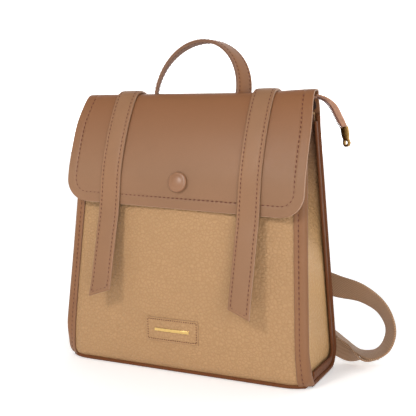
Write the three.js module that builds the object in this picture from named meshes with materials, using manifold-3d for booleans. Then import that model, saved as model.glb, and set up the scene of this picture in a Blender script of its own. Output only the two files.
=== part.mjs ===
// A small leather backpack with a buckle-less flap, a top handle, a top zip and two webbing straps.
// Millimetres, +Z up, the front faces -Y and +X is the viewer's right when looking at the front.
// The origin is the middle of the base, on the surface that the bag stands on.
import * as THREE from 'three';
import { mergeVertices } from 'three/addons/utils/BufferGeometryUtils.js';
import Module from 'manifold-3d';

// ---------- driving dimensions ----------
const BASE_WIDTH = 260;
const BASE_DEPTH = 95;
const SIDE_LEAN = 0.055; // how fast each side, the front and the back lean in with height
const FRONT_LEAN = 0.097;
const BACK_LEAN = 0.117;
const CROWN_Z = 264.4; // top of the flap

const GAP = 0.3; // between pieces that touch
const TRIM = 1.3; // thickness of the trims
const SKIN = TRIM + GAP; // the panels lie this far under the trims
const PANEL = 1.8; // thickness of the panels
const LINING = 0.8;
const BOARD = 2.0; // stiffener boards

const FRONT_TOP = 226;
const BACK_TOP = 246.5;
const FRONT_BULGE = 12;
const FRONT_RADIUS = 14; // of the front and rear bottom edges
const BACK_RADIUS = 22;
const SIDE_RADIUS = 5; // of the bottom edges of the sides
const CORNER_TURN = 11.5; // the lower front corners are rounded off this far back
const CORNER_REACH = 25;
const CORNER_TOP = 40;
const GUSSET_RECESS = 2; // the gussets lie this far inside the trims and bindings
const FOLD_START = 95; // the gussets fold inwards from here up
const FOLD_END = 246;
const FOLD_DEPTH = 34;

const BASE_SLAB = 2.2;
const TRIM_WIDTH = 12;
const TRIM_CORNER = 2.6;
const BINDING_RADIUS = 2;
const WELT_WIDTH = 9;
const WELT_INSET = 9.6;

const FLAP_LEATHER = 1.5;
const FLAP_THICKNESS = FLAP_LEATHER + GAP + LINING;
const FLAP_HALF_TOP = 119.4;
const FLAP_HALF_LOW = 122.8;
const FLAP_LENGTH = 119; // along the outside, from the hinge line to the lower edge
const FLAP_SKEW = 0.03; // the lower edge hangs lower towards +X
const FLAP_CORNER = 22;
const HINGE_GAP = 1.6;
const HINGE = { y: -2, z: 263 };

const STRAP_X = 72;
const STRAP_WIDTH = 21.6;
const STRAP_THICKNESS = 3;
const STRAP_SLANT = 8;
const TAIL_JOINT_Z = 167;

const HANDLE_HALF_SPAN = 46.6;
const HANDLE_FOOT = { x: -1.6, y: 5, z: 264 };
const HANDLE_APEX = { x: 1.5, y: 13, z: 314.4 };
const HANDLE_WIDTH = 18;
const HANDLE_LAYER = 1.4;
const HANDLE_TWIST = THREE.MathUtils.degToRad(25);

const SNAP_Z = 182;
const BUTTON_RADIUS = 9.6;
const BUTTON_HEIGHT = 4.6;

const LABEL = { x: -4, z: 42, width: 55, height: 23 };

const ZIP_Z = 246;
const ZIP_PARTED = 10; // half of the gap between the open rows
const ZIP_CLOSED = 1;
const ZIP_LEFT = -84;
const ZIP_MEET = 84;
const ZIP_EXIT = { x: 119.6, z: 259.8 };
const ZIP_TAPE_REACH = 14.4;
const ZIP_TAIL_HALF = 4.5;
const SLIDER_X = 85.5;

const WEBBING_WIDTH = 25;
const WEBBING_THICKNESS = 1.6;

// ---------- materials ----------
const leather = (colour) => new THREE.MeshStandardMaterial({ color: colour, roughness: 0.55, metalness: 0 });
const cloth = (colour) => new THREE.MeshStandardMaterial({ color: colour, roughness: 0.9, metalness: 0 });
const BROWN = leather(0xa07a5c);
const DARK_BROWN = leather(0x8a5f43);
const TAN = leather(0xbf986f);
const LINING_CLOTH = cloth(0xb89f82);
const BOARD_GREY = cloth(0x8f8a80);
const WEBBING_CLOTH = cloth(0x8c745c);
const TAPE_CLOTH = cloth(0xb08a75);
const GOLD = new THREE.MeshStandardMaterial({ color: 0xc9a25c, roughness: 0.3, metalness: 1 });

// ---------- general solids ----------

// A closed solid from rings of points. Each ring has the same even count, and its second half runs
// back along its first half, so a strip of quads closes each end.
function loft(rings) {
  const count = rings[0].length;
  const half = count / 2;
  const faces = [];
  const quad = (a, b, c, d) => faces.push(a, b, c, a, c, d);
  for (let i = 0; i + 1 < rings.length; i++) {
    for (let j = 0; j < count; j++) {
      const next = (j + 1) % count;
      quad(i * count + j, i * count + next, (i + 1) * count + next, (i + 1) * count + j);
    }
  }
  const last = (rings.length - 1) * count;
  for (let j = 0; j + 1 < half; j++) {
    const back = count - 1 - j;
    quad(j, back, back - 1, j + 1);
    quad(last + j, last + j + 1, last + back - 1, last + back);
  }
  return solid(rings.flat(), faces);
}

// A closed solid from level rings, with flat ends of any outline.
function stack(rings) {
  const count = rings[0].length;
  const faces = [];
  for (let i = 0; i + 1 < rings.length; i++) {
    for (let j = 0; j < count; j++) {
      const next = (j + 1) % count;
      const [a, b] = [i * count + j, i * count + next];
      faces.push(a, b, b + count, a, b + count, a + count);
    }
  }
  const last = (rings.length - 1) * count;
  for (const [a, b, c] of THREE.ShapeUtils.triangulateShape(rings[0], [])) faces.push(a, c, b);
  for (const [a, b, c] of THREE.ShapeUtils.triangulateShape(rings.at(-1), [])) {
    faces.push(last + a, last + b, last + c);
  }
  return solid(rings.flat(), faces);
}

// A geometry from points and faces, turned so that its faces point outwards.
function solid(points, faces) {
  let volume = 0;
  for (let i = 0; i < faces.length; i += 3) {
    const [a, b, c] = [points[faces[i]], points[faces[i + 1]], points[faces[i + 2]]];
    volume += a.dot(new THREE.Vector3().crossVectors(b, c));
  }
  const geometry = new THREE.BufferGeometry();
  geometry.setAttribute('position', new THREE.Float32BufferAttribute(points.flatMap((p) => p.toArray()), 3));
  geometry.setIndex(volume < 0 ? faces.reverse() : faces);
  return geometry;
}

// A sheet of material. surface(u, v) is its drawn face for u and v from 0 to 1, and the sheet fills
// the offsets from low to high along the normal, which is the direction of +u crossed with +v.
function sheet(surface, columns, rows, low, high) {
  const step = 1e-3;
  const rings = [];
  for (let j = 0; j <= rows; j++) {
    const near = [];
    const far = [];
    for (let i = 0; i <= columns; i++) {
      const [u, v] = [i / columns, j / rows];
      const across = surface(Math.min(u + step, 1), v).sub(surface(Math.max(u - step, 0), v));
      const along = surface(u, Math.min(v + step, 1)).sub(surface(u, Math.max(v - step, 0)));
      const normal = across.cross(along).normalize();
      near.push(surface(u, v).addScaledVector(normal, low));
      far.unshift(surface(u, v).addScaledVector(normal, high));
    }
    rings.push([...near, ...far]);
  }
  return loft(rings);
}

// A flat strip that follows a curve, with its width along side(t).
function strip(curve, side, width, steps, low, high) {
  const surface = (u, v) => curve(v).addScaledVector(side(v), (u - 0.5) * width(v));
  return sheet(surface, 1, steps, low, high);
}

// A round cord of leather along a curve whose path stays near the Y-Z plane.
function piping(curve, radius, steps, sides) {
  const rings = [];
  for (let i = 0; i <= steps; i++) {
    const t = i / steps;
    const along = curve(Math.min(t + 1e-3, 1)).sub(curve(Math.max(t - 1e-3, 0))).normalize();
    const second = new THREE.Vector3().crossVectors(along, new THREE.Vector3(1, 0, 0)).normalize();
    const first = new THREE.Vector3().crossVectors(second, along);
    const ring = [];
    for (let k = 0; k < sides; k++) {
      const angle = ((k + 0.5) * 2 * Math.PI) / sides;
      ring.push(curve(t)
        .addScaledVector(first, radius * Math.cos(angle))
        .addScaledVector(second, radius * Math.sin(angle)));
    }
    rings.push(ring);
  }
  return loft(rings);
}

const wasm = await Module();
wasm.setup();

function toManifold(geometry) {
  const bare = geometry.clone();
  bare.deleteAttribute('normal');
  bare.deleteAttribute('uv');
  const merged = mergeVertices(bare);
  return new wasm.Manifold(new wasm.Mesh({
    numProp: 3,
    vertProperties: Float32Array.from(merged.attributes.position.array),
    triVerts: Uint32Array.from(merged.index.array),
  }));
}

function fromManifold(shape) {
  const mesh = shape.getMesh();
  const geometry = new THREE.BufferGeometry();
  geometry.setAttribute('position', new THREE.BufferAttribute(mesh.vertProperties, 3));
  geometry.setIndex(new THREE.BufferAttribute(mesh.triVerts, 1));
  return geometry;
}

function block(x0, x1, y0, y1, z0, z1) {
  const geometry = new THREE.BoxGeometry(x1 - x0, y1 - y0, z1 - z0);
  return geometry.translate((x0 + x1) / 2, (y0 + y1) / 2, (z0 + z1) / 2);
}

const point = (x, y, z) => new THREE.Vector3(x, y, z);
const mix = THREE.MathUtils.lerp;
const smooth = THREE.MathUtils.smoothstep;

// ---------- the shape of the bag ----------
// How far an edge of this radius has curved in at height z.
function tuck(z, radius) {
  if (z >= radius) return 0;
  return radius - Math.sqrt(radius ** 2 - (radius - z) ** 2);
}

const halfWidth = (z) => BASE_WIDTH / 2 - SIDE_LEAN * z - tuck(z, SIDE_RADIUS);
const frontLine = (z) => -BASE_DEPTH / 2 + FRONT_LEAN * z + tuck(z, FRONT_RADIUS);
const backLine = (z) => BASE_DEPTH / 2 - BACK_LEAN * z - tuck(z, BACK_RADIUS);

// How far back the rounding of a lower front corner has moved the front at x.
function cornerTurn(x, z) {
  const near = Math.max((Math.abs(x) - halfWidth(z)) / CORNER_REACH + 1, 0);
  return CORNER_TURN * (1 - smooth(z, 0, CORNER_TOP)) * near ** 2;
}

const sideLine = (z) => frontLine(z) + cornerTurn(halfWidth(z), z);

function frontSurface(x, z) {
  const rise = Math.sin(Math.PI * Math.min(z / FRONT_TOP, 1));
  const across = 1 - (x / (halfWidth(z) - SKIN)) ** 2;
  return frontLine(z) + SKIN + cornerTurn(x, z) - FRONT_BULGE * rise * Math.max(across, 0);
}

const backSurface = (z) => backLine(z) - 2;

// The back outline moved inwards, with its lower corner kept round.
function backInset(z, inset) {
  if (z >= BACK_RADIUS) return BASE_DEPTH / 2 - BACK_LEAN * z - inset;
  const centre = BASE_DEPTH / 2 - BACK_LEAN * BACK_RADIUS - BACK_RADIUS;
  return centre + Math.sqrt(Math.max((BACK_RADIUS - inset) ** 2 - (BACK_RADIUS - z) ** 2, 0));
}

// Heights down a panel, closer together round its lower edge.
const panelZ = (v) => 3 + (FRONT_TOP - 3) * (1 - v) ** 1.35;

// The outside of the gusset, at share t of the way from front to back.
function gussetSurface(t, z) {
  const fold = FOLD_DEPTH * smooth(z, FOLD_START, FOLD_END) * (1 - Math.abs(2 * t - 1) ** 1.4);
  return halfWidth(z) - SKIN - GUSSET_RECESS * smooth(t, 0, 0.1) - fold;
}

// How far back the gusset's share t is.
function gussetY(t, z) {
  return mix(sideLine(z) + SKIN + TRIM_CORNER + GAP, backInset(z, 2 * BINDING_RADIUS + 2.2), t);
}

// ---------- panels ----------
function frontPanel() {
  const edge = SKIN + TRIM_CORNER;
  const surface = (u, v) => {
    const z = panelZ(v);
    const x = (2 * u - 1) * (halfWidth(z) - edge);
    return point(x, frontSurface(x, z), z);
  };
  return sheet(surface, 14, 20, 0, PANEL);
}

function backPanel() {
  const surface = (u, v) => {
    const z = mix(BACK_TOP, 3, v);
    return point((1 - 2 * u) * (halfWidth(z) - 4.6), backSurface(z), z);
  };
  return sheet(surface, 2, 16, 0, PANEL);
}

// A floor piece whose front corners follow the bag's.
function floorSheet(half, front, back, bottom, thickness) {
  const surface = (u, v) => {
    const x = (2 * u - 1) * half;
    return point(x, mix(front + cornerTurn(x, bottom), back, v), bottom);
  };
  return sheet(surface, 16, 1, 0, thickness);
}

const basePanel = () => floorSheet(halfWidth(3) - 6, frontLine(3) + 2, backLine(3) - 2, 0, BASE_SLAB);

function baseBoard() {
  const half = halfWidth(4) - 14;
  const bottom = BASE_SLAB + GAP + 2.3;
  const front = frontLine(bottom) + SKIN + PANEL + 3;
  return floorSheet(half, front, backLine(bottom) - 8, bottom, BOARD);
}

function backBoard() {
  const surface = (u, v) => {
    const z = mix(212, 24, v);
    return point((1 - 2 * u) * (halfWidth(z) - 14), backSurface(z) - PANEL - GAP, z);
  };
  return sheet(surface, 1, 2, 0, BOARD);
}

function gusset(side) {
  const top = (u) => mix(FRONT_TOP, 242, u);
  const surface = (u, v) => {
    const z = mix(top(u), 5.6, v);
    return point(side * gussetSurface(u, z), gussetY(u, z), z);
  };
  return side > 0 ? sheet(surface, 8, 16, 0, PANEL) : sheet(surface, 8, 16, -PANEL, 0);
}

// The trim wraps from the front panel round the corner on to the gusset.
function frontTrim(side) {
  const surface = (u, v) => {
    const z = panelZ(v);
    const outside = halfWidth(z) - SKIN;
    const front = sideLine(z) + SKIN;
    const flat = 0.7;
    if (u < flat) {
      const x = mix(halfWidth(z) - TRIM_WIDTH, outside - TRIM_CORNER, u / flat);
      return point(side * x, frontSurface(x, z), z);
    }
    const angle = ((u - flat) / (1 - flat)) * (Math.PI / 2);
    const blend = frontSurface(outside - TRIM_CORNER, z) - front;
    const x = outside - TRIM_CORNER * (1 - Math.sin(angle));
    const y = front + blend * Math.cos(angle) + TRIM_CORNER * (1 - Math.cos(angle));
    return point(side * x, y, z);
  };
  return side > 0 ? sheet(surface, 10, 20, -SKIN, -GAP) : sheet(surface, 10, 20, GAP, SKIN);
}

// The side view of the rear edge: down the back, round the lower corner and forwards along the base.
// inset moves the line inwards from the outline.
function rearEdge(inset, topZ, frontY) {
  const radius = BACK_RADIUS - inset;
  const cornerTop = BACK_RADIUS;
  const centreY = backInset(cornerTop, BACK_RADIUS);
  const [down, round] = [topZ - cornerTop, (radius * Math.PI) / 2];
  const total = down + round + centreY - frontY;
  return (t) => {
    const travelled = t * total;
    if (travelled < down) {
      const z = topZ - travelled;
      return { y: BASE_DEPTH / 2 - BACK_LEAN * z - inset, z };
    }
    if (travelled < down + round) {
      const angle = (travelled - down) / radius;
      return { y: centreY + radius * Math.cos(angle), z: BACK_RADIUS - radius * Math.sin(angle) };
    }
    return { y: centreY - (travelled - down - round), z: inset };
  };
}

function rearBinding(side) {
  const edge = rearEdge(BINDING_RADIUS, FRONT_TOP, sideLine(4) + 8);
  const curve = (t) => {
    const { y, z } = edge(t);
    return point(side * (halfWidth(z) - BINDING_RADIUS), y, z);
  };
  return piping(curve, BINDING_RADIUS, 34, 8);
}

function gussetWelt(side) {
  const edge = rearEdge(WELT_INSET, 150, sideLine(WELT_INSET) + 13);
  const surface = (u, v) => {
    const { y, z } = edge(v);
    const ahead = edge(Math.min(v + 1e-3, 1));
    const behind = edge(Math.max(v - 1e-3, 0));
    const along = new THREE.Vector2(ahead.y - behind.y, ahead.z - behind.z).normalize();
    const shift = (u - 0.5) * WELT_WIDTH;
    const x = Math.max(gussetSurface(0.9, z), gussetSurface(1, z)) + mix(1.6, 0, u);
    return point(side * x, y - along.y * shift, z + along.x * shift);
  };
  return side > 0 ? sheet(surface, 1, 26, -SKIN, -GAP) : sheet(surface, 1, 26, GAP, SKIN);
}

// ---------- lining and pocket ----------
function liningRing(z, inset) {
  const ring = [];
  const front = inset + PANEL + 4 * GAP;
  const side = inset + PANEL + 4 * GAP;
  const back = backSurface(z) - inset - PANEL - 2 * GAP - BOARD;
  // The gusset's folds are steep, so the distance to them is taken square to the fold.
  const wallAt = (t) => {
    const run = gussetY(t + 0.01, z) - gussetY(t - 0.01, z);
    const slope = (gussetSurface(t + 0.01, z) - gussetSurface(t - 0.01, z)) / run;
    return gussetSurface(t, z) - side * Math.hypot(1, slope);
  };
  const shares = [0.06, 0.15, 0.25, 0.35, 0.43, 0.5, 0.57, 0.65, 0.75, 0.85, 0.94];
  const half = wallAt(shares[0]);
  for (let i = 0; i <= 8; i++) {
    const x = mix(-half + 1, half - 1, i / 8);
    const slope = frontSurface(x + 0.5, z) - frontSurface(x - 0.5, z);
    ring.push(point(x, frontSurface(x, z) + front * Math.hypot(1, slope), z));
  }
  for (const t of shares) ring.push(point(wallAt(t), Math.min(gussetY(t, z), back - 0.3), z));
  for (const x of [half - 3, 0, 3 - half]) ring.push(point(x, back, z));
  for (const t of shares.toReversed()) ring.push(point(-wallAt(t), Math.min(gussetY(t, z), back - 0.3), z));
  return ring;
}

function lining() {
  const levels = [11, 14, 22, 40, 60, 90, 120, 150, 180, 200, 212];
  const floor = 9;
  const top = 222;
  const outer = [floor, ...levels, top].map((z) => liningRing(z, 0));
  const inner = [floor + LINING, ...levels, top + 1].map((z) => liningRing(z, LINING));
  return fromManifold(toManifold(stack(outer)).subtract(toManifold(stack(inner))));
}

const POCKET = { half: 60, bottom: 60, top: 165, bow: 12 };

function slipPocket() {
  const surface = (u, v) => {
    const x = (2 * u - 1) * POCKET.half;
    const z = mix(POCKET.top, POCKET.bottom, v);
    const wall = backSurface(z) - PANEL - 2 * GAP - BOARD - LINING - GAP;
    const bow = POCKET.bow * (1 - (2 * u - 1) ** 2) * smooth(z, POCKET.bottom, POCKET.bottom + 35);
    return point(x, wall - 0.4 - bow, z);
  };
  return sheet(surface, 10, 8, -LINING, 0);
}

// ---------- flap ----------
const flapProfile = new THREE.CatmullRomCurve3([
  point(0, HINGE.y - HINGE_GAP, 264.2),
  point(0, -7, 263.3),
  point(0, -10.6, 260.6),
  point(0, -14, 256.4),
  point(0, -20.4, 245.9),
  point(0, -29.1, 228),
  point(0, -35.1, 212.2),
  point(0, -39.1, 199.5),
  point(0, -42, 187.7),
  point(0, -43.7, 175),
  point(0, -44.8, 157),
  point(0, -45, 146),
], false, 'centripetal');
const FLAP_PROFILE_LENGTH = flapProfile.getLength();
const onFlap = (s) => flapProfile.getPointAt(Math.min(s / FLAP_PROFILE_LENGTH, 1));

// The flap's outside at height z.
function flapY(z) {
  let [low, high] = [0, FLAP_PROFILE_LENGTH];
  for (let i = 0; i < 30; i++) {
    const middle = (low + high) / 2;
    if (onFlap(middle).z > z) low = middle;
    else high = middle;
  }
  return onFlap(low).y;
}

// How wide half of the flap is at distance s from the hinge line, with its rounded lower corners.
function flapHalf(s) {
  const half = mix(FLAP_HALF_TOP, FLAP_HALF_LOW, smooth(s, 0, 45));
  return half - tuck(FLAP_LENGTH - s, FLAP_CORNER);
}

function flapLayer(low, high, margin) {
  const surface = (u, v) => {
    const share = 1 - (1 - v) ** 1.25;
    const s = share * (FLAP_LENGTH - margin);
    const x = (2 * u - 1) * (flapHalf(s) - margin);
    return onFlap(s * (1 + (FLAP_SKEW * x) / FLAP_LENGTH)).setX(x);
  };
  return sheet(surface, 8, 24, low, high);
}

// The part of the flap's leather behind the hinge line is sewn down to the back panel.
// The yoke narrows as it goes down the back.
const yokeHalf = (z) => mix(FLAP_HALF_TOP - 3, FLAP_HALF_TOP, smooth(z, 248, 262));

function flapYoke() {
  const profile = new THREE.CatmullRomCurve3([
    point(0, HINGE.y + 2.5, CROWN_Z),
    point(0, 6, 263.3),
    point(0, 12, 259.6),
    point(0, 16.8, 253),
    point(0, backLine(244) + 0.7, 244),
    point(0, backLine(228) + 0.7, 228),
  ], false, 'centripetal');
  const surface = (u, v) => {
    const place = profile.getPointAt(v);
    return place.setX((2 * u - 1) * yokeHalf(place.z));
  };
  return sheet(surface, 2, 14, -2.2, 0);
}

// ---------- decorative straps ----------
// The strap follows the flap from s0 to s1, this far outside it.
function strapOnFlap(side, s0, s1) {
  const curve = (v) => onFlap(mix(s0, s1, v)).setX(side * STRAP_X);
  return strip(curve, () => point(1, 0, 0), () => STRAP_WIDTH, 14, -GAP - STRAP_THICKNESS, -GAP);
}

function strapOnYoke(side) {
  const profile = new THREE.CatmullRomCurve3([
    point(0, 5.6, 263.6),
    point(0, 12.4, 259.9),
    point(0, 17.2, 253),
    point(0, backLine(244) + 1.1, 244),
    point(0, backLine(230) + 1.1, 230),
  ], false, 'centripetal');
  const curve = (v) => profile.getPointAt(v).setX(side * STRAP_X);
  return strip(curve, () => point(1, 0, 0), () => STRAP_WIDTH, 8, 0, STRAP_THICKNESS);
}

// The free end stands off the front, and is cut at a slant with its point on the outer side.
function strapTail(side) {
  const tipZ = side > 0 ? 65 : 71.5;
  const profile = new THREE.CatmullRomCurve3([
    point(0, -46.2, TAIL_JOINT_Z - 2),
    point(0, -50.4, 150),
    point(0, -55.3, 130),
    point(0, -60.5, 108),
    point(0, -66.4, 84),
    point(0, -70.6, tipZ),
  ], false, 'centripetal');
  const surface = (u, v) => {
    const x = side * STRAP_X + (u - 0.5) * STRAP_WIDTH;
    const inward = 0.5 - side * (u - 0.5);
    const slant = (STRAP_SLANT * inward) / profile.getLength();
    return profile.getPointAt(v * (1 - slant)).setX(x);
  };
  return sheet(surface, 1, 10, -STRAP_THICKNESS, 0);
}

// ---------- handle ----------
function handleLayer(low, high) {
  const rise = (v) => Math.sin(Math.PI * v);
  const curve = (v) => point(
    mix(HANDLE_FOOT.x, HANDLE_APEX.x, rise(v)) - HANDLE_HALF_SPAN * Math.cos(Math.PI * v),
    mix(HANDLE_FOOT.y, HANDLE_APEX.y, rise(v)),
    mix(HANDLE_FOOT.z + 1, HANDLE_APEX.z, rise(v)),
  );
  const side = (v) => {
    const twist = HANDLE_TWIST * Math.cos(Math.PI * v);
    return point(-Math.sin(twist), Math.cos(twist), 0);
  };
  const width = (v) => mix(5, HANDLE_WIDTH, smooth(rise(v), 0.02, 0.22));
  return strip(curve, side, width, 40, low, high);
}

// ---------- snap, button and label ----------
// Lays a turned piece on a front-facing face y(z) at the snap's height, its +Y axis pointing outwards.
function placeOnFront(face) {
  return (mesh) => {
    const slope = (face(SNAP_Z + 1) - face(SNAP_Z - 1)) / 2;
    mesh.position.set(0, face(SNAP_Z), SNAP_Z);
    mesh.rotation.x = Math.PI - Math.atan(slope);
  };
}

const placeSnap = placeOnFront((z) => frontSurface(0, z));
const placeButton = placeOnFront((z) => flapY(z) - GAP);

const lathe = (profile, segments) =>
  new THREE.LatheGeometry(profile.map(([r, h]) => new THREE.Vector2(r, h)), segments);

const snapSocket = () => lathe([[3, 0.4], [6.5, 0.4], [6.5, 1.6], [5.8, 2], [3, 2], [3, 0.4]], 20);
const snapStud = () => lathe([[0, 1], [1.8, 1], [1.8, 2.4], [5.6, 2.4], [5.6, 3.2], [0, 3.2]], 20);

function buttonCap() {
  const profile = [[0, 0], [BUTTON_RADIUS - 1.2, 0]];
  for (let i = 0; i <= 6; i++) {
    const angle = (i / 6) * (Math.PI / 2);
    profile.push([BUTTON_RADIUS * Math.cos(angle), 1 + (BUTTON_HEIGHT - 1) * Math.sin(angle)]);
  }
  profile[profile.length - 1][0] = 0;
  return lathe(profile, 24);
}

function labelSheet(width, height, low, high) {
  const surface = (u, v) => {
    const x = LABEL.x + (u - 0.5) * width;
    const z = LABEL.z + (0.5 - v) * height;
    return point(x, frontSurface(x, z), z);
  };
  return sheet(surface, 6, 4, low, high);
}

// ---------- zip ----------
// Half of the gap between the rows, and the height of the rows, at x.
const zipHalfGap = (x) => mix(ZIP_PARTED, ZIP_CLOSED, smooth(x, ZIP_MEET - 45, ZIP_MEET - 5));
const zipHeight = (x) => mix(ZIP_Z, ZIP_EXIT.z, smooth(x, ZIP_MEET + 11, ZIP_EXIT.x));

function zipRow(side, innerOffset, outerEdge, halfHeight) {
  const surface = (u, v) => {
    const x = mix(ZIP_LEFT, ZIP_EXIT.x, v);
    const inner = zipHalfGap(x) + innerOffset;
    return point(x, side * mix(inner, outerEdge(x, inner), u), zipHeight(x));
  };
  return sheet(surface, 1, 28, -halfHeight, halfHeight);
}

const zipCoil = (side) => zipRow(side, 0, (x, inner) => inner + 1.6, 1);
const zipTape = (side) => {
  const reach = (x) => mix(ZIP_TAPE_REACH, ZIP_TAIL_HALF, smooth(x, ZIP_MEET, ZIP_MEET + 24));
  return zipRow(side, 1.6 + GAP, reach, 0.4);
};

// The strip between the front panel's top edge and the zip.
function zipFacing() {
  const surface = (u, v) => {
    const x = (2 * u - 1) * mix(107, 82, v);
    return point(x, mix(-22.4, -14.8, v), mix(FRONT_TOP + 0.8, 245.2, v));
  };
  return sheet(surface, 1, 3, 0, LINING);
}

function zipSlider() {
  const pieces = [
    block(-5.5, 5.5, -4.5, 4.5, 1.3, 2.3),
    block(-5.5, 5.5, -4.5, 4.5, -2.3, -1.3),
    block(-4.5, -1.5, -0.6, 0.6, -2, 2),
    block(1, 5.5, 1.7, 2.6, 2, 4.6),
    block(1, 5.5, -2.6, -1.7, 2, 4.6),
  ];
  const joined = pieces.map(toManifold).reduce((a, b) => a.add(b));
  return fromManifold(joined).translate(SLIDER_X, 0, ZIP_Z);
}

function zipPuller() {
  const shape = new THREE.Shape();
  shape.moveTo(1, -1.3);
  shape.lineTo(1, 1.3);
  shape.lineTo(-3, 1.3);
  shape.lineTo(-6, 3);
  shape.absarc(-13, 0, 3, Math.PI / 2, (3 * Math.PI) / 2, false);
  shape.lineTo(-6, -3);
  shape.lineTo(-3, -1.3);
  const hole = new THREE.Path();
  hole.absarc(-12.5, 0, 1.5, 0, 2 * Math.PI, false);
  shape.holes.push(hole);
  const geometry = new THREE.ExtrudeGeometry(shape, { depth: 1, bevelEnabled: false, curveSegments: 8 });
  return geometry.translate(SLIDER_X + 2, 0, ZIP_Z + 3.2);
}

const tailRoute = new THREE.CatmullRomCurve3([
  point(120.3, 1, 260),
  point(126.2, 1, 257.6),
  point(132, 1, 252),
  point(136.1, 1, 245.2),
  point(139.4, 1, 238.6),
  point(142.6, 1, 234.6),
]);

// The tail lies level where it leaves the bag, and turns its face forwards as it hangs.
function tailStrip(width, low, high) {
  const side = (v) => {
    const along = tailRoute.getTangentAt(v);
    const inward = new THREE.Vector3().crossVectors(along, point(0, 1, 0)).normalize();
    const turn = THREE.MathUtils.degToRad(mix(22, 60, smooth(v, 0, 0.5)));
    return point(0, -Math.cos(turn), 0).addScaledVector(inward, Math.sin(turn));
  };
  return strip((v) => tailRoute.getPointAt(v), side, () => width, 14, low, high);
}

function tailClip() {
  const shape = new THREE.Shape();
  shape.moveTo(-3.6, 0);
  shape.lineTo(3.6, 0);
  shape.lineTo(3.6, -7);
  shape.lineTo(2.6, -11);
  shape.absarc(0, -14.4, 3.6, 0, Math.PI, true);
  shape.lineTo(-2.6, -11);
  shape.lineTo(-3.6, -7);
  const hole = new THREE.Path();
  hole.absarc(0, -14.2, 1.9, 0, 2 * Math.PI, false);
  shape.holes.push(hole);
  return new THREE.ExtrudeGeometry(shape, { depth: 2.6, bevelEnabled: false, curveSegments: 8 })
    .translate(0, 0, -1.3);
}

function placeClip(mesh) {
  mesh.position.set(144.2, 1, 232.9);
  mesh.rotation.set(Math.PI / 2, -0.22, -0.42, 'ZYX');
}

// ---------- webbing straps ----------
// From the anchor patch down behind the bag, out past its side, round to the floor and back in.
// Each row is x, y, z and the turn of the webbing's width, from 0 upright to 90 level.
const WEBBING_ROWS = [
  [31, 31, 207, 20],
  [37, 38, 186, 20],
  [48, 46, 154, 19],
  [66, 53, 117, 17],
  [91, 57, 87, 14],
  [121, 58, 76.4, 15],
  [149, 58, 70.8, 33],
  [169, 58, 58, 46],
  [178, 58, 39, 56],
  [174.5, 58, 22, 64],
  [163, 58, 11.5, 80],
  [147, 58, 12, 99],
  [132, 57, 22, 102],
  [116, 53, 36, 103],
];

function webbingRoute(side) {
  return new THREE.CatmullRomCurve3(
    WEBBING_ROWS.map(([x, y, z]) => point(side * x, y, z)),
    false,
    'centripetal',
  );
}

function webbingAcross(route, side, v) {
  const place = route.getUtoTmapping(v) * (WEBBING_ROWS.length - 1);
  const row = Math.min(Math.floor(place), WEBBING_ROWS.length - 2);
  const turn = mix(WEBBING_ROWS[row][3], WEBBING_ROWS[row + 1][3], place - row);
  const angle = THREE.MathUtils.degToRad(turn);
  const outward = new THREE.Vector3().crossVectors(route.getTangentAt(v), point(0, side, 0)).normalize();
  return outward.multiplyScalar(Math.cos(angle)).add(point(0, -Math.sin(angle), 0)).normalize();
}

function webbing(side) {
  const route = webbingRoute(side);
  const width = (v) => mix(6, WEBBING_WIDTH, smooth(v, 0, 0.12) * smooth(1 - v, 0, 0.1));
  const across = (v) => webbingAcross(route, side, v);
  return strip((v) => route.getPointAt(v), across, width, 44, -WEBBING_THICKNESS / 2, WEBBING_THICKNESS / 2);
}

function anchorPatch() {
  const surface = (u, v) => {
    const z = mix(224, 206, v);
    return point((1 - 2 * u) * mix(46, 40, v), backSurface(z), z);
  };
  return sheet(surface, 4, 2, -GAP - 2, -GAP);
}

function lowerTab(side) {
  const surface = (u, v) => {
    const z = mix(52, 22, u);
    const x = mix(122 - 0.5 * Math.abs(z - 37), 100, v);
    return point(side * x, backSurface(z), z);
  };
  return side > 0 ? sheet(surface, 4, 2, GAP, GAP + 2) : sheet(surface, 4, 2, -GAP - 2, -GAP);
}

function adjuster() {
  const shape = new THREE.Shape();
  shape.moveTo(-16, -9);
  shape.lineTo(16, -9);
  shape.lineTo(16, 9);
  shape.lineTo(-16, 9);
  for (const y of [-4.2, 4.2]) {
    const slot = new THREE.Path();
    slot.moveTo(-13.2, y - 2.8);
    slot.lineTo(-13.2, y + 2.8);
    slot.lineTo(13.2, y + 2.8);
    slot.lineTo(13.2, y - 2.8);
    shape.holes.push(slot);
  }
  return new THREE.ExtrudeGeometry(shape, { depth: 1.8, bevelEnabled: false });
}

// The slide lies flat on the webbing's rear face.
function placeAdjuster(side) {
  return (mesh) => {
    const route = webbingRoute(side);
    const share = 0.2;
    const along = route.getTangentAt(share);
    const across = webbingAcross(route, side, share);
    const face = new THREE.Vector3().crossVectors(across, along).normalize();
    if (face.y < 0) {
      face.negate();
      across.negate();
    }
    const square = new THREE.Vector3().crossVectors(along, face);
    mesh.quaternion.setFromRotationMatrix(new THREE.Matrix4().makeBasis(square, along, face));
    mesh.position.copy(route.getPointAt(share)).addScaledVector(face, WEBBING_THICKNESS / 2 + 1.2);
  };
}

// ---------- assembly ----------
const bag = new THREE.Group();

function add(name, geometry, material, place) {
  const mesh = new THREE.Mesh(geometry, material);
  mesh.name = name;
  if (place) place(mesh);
  bag.add(mesh);
}

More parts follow.
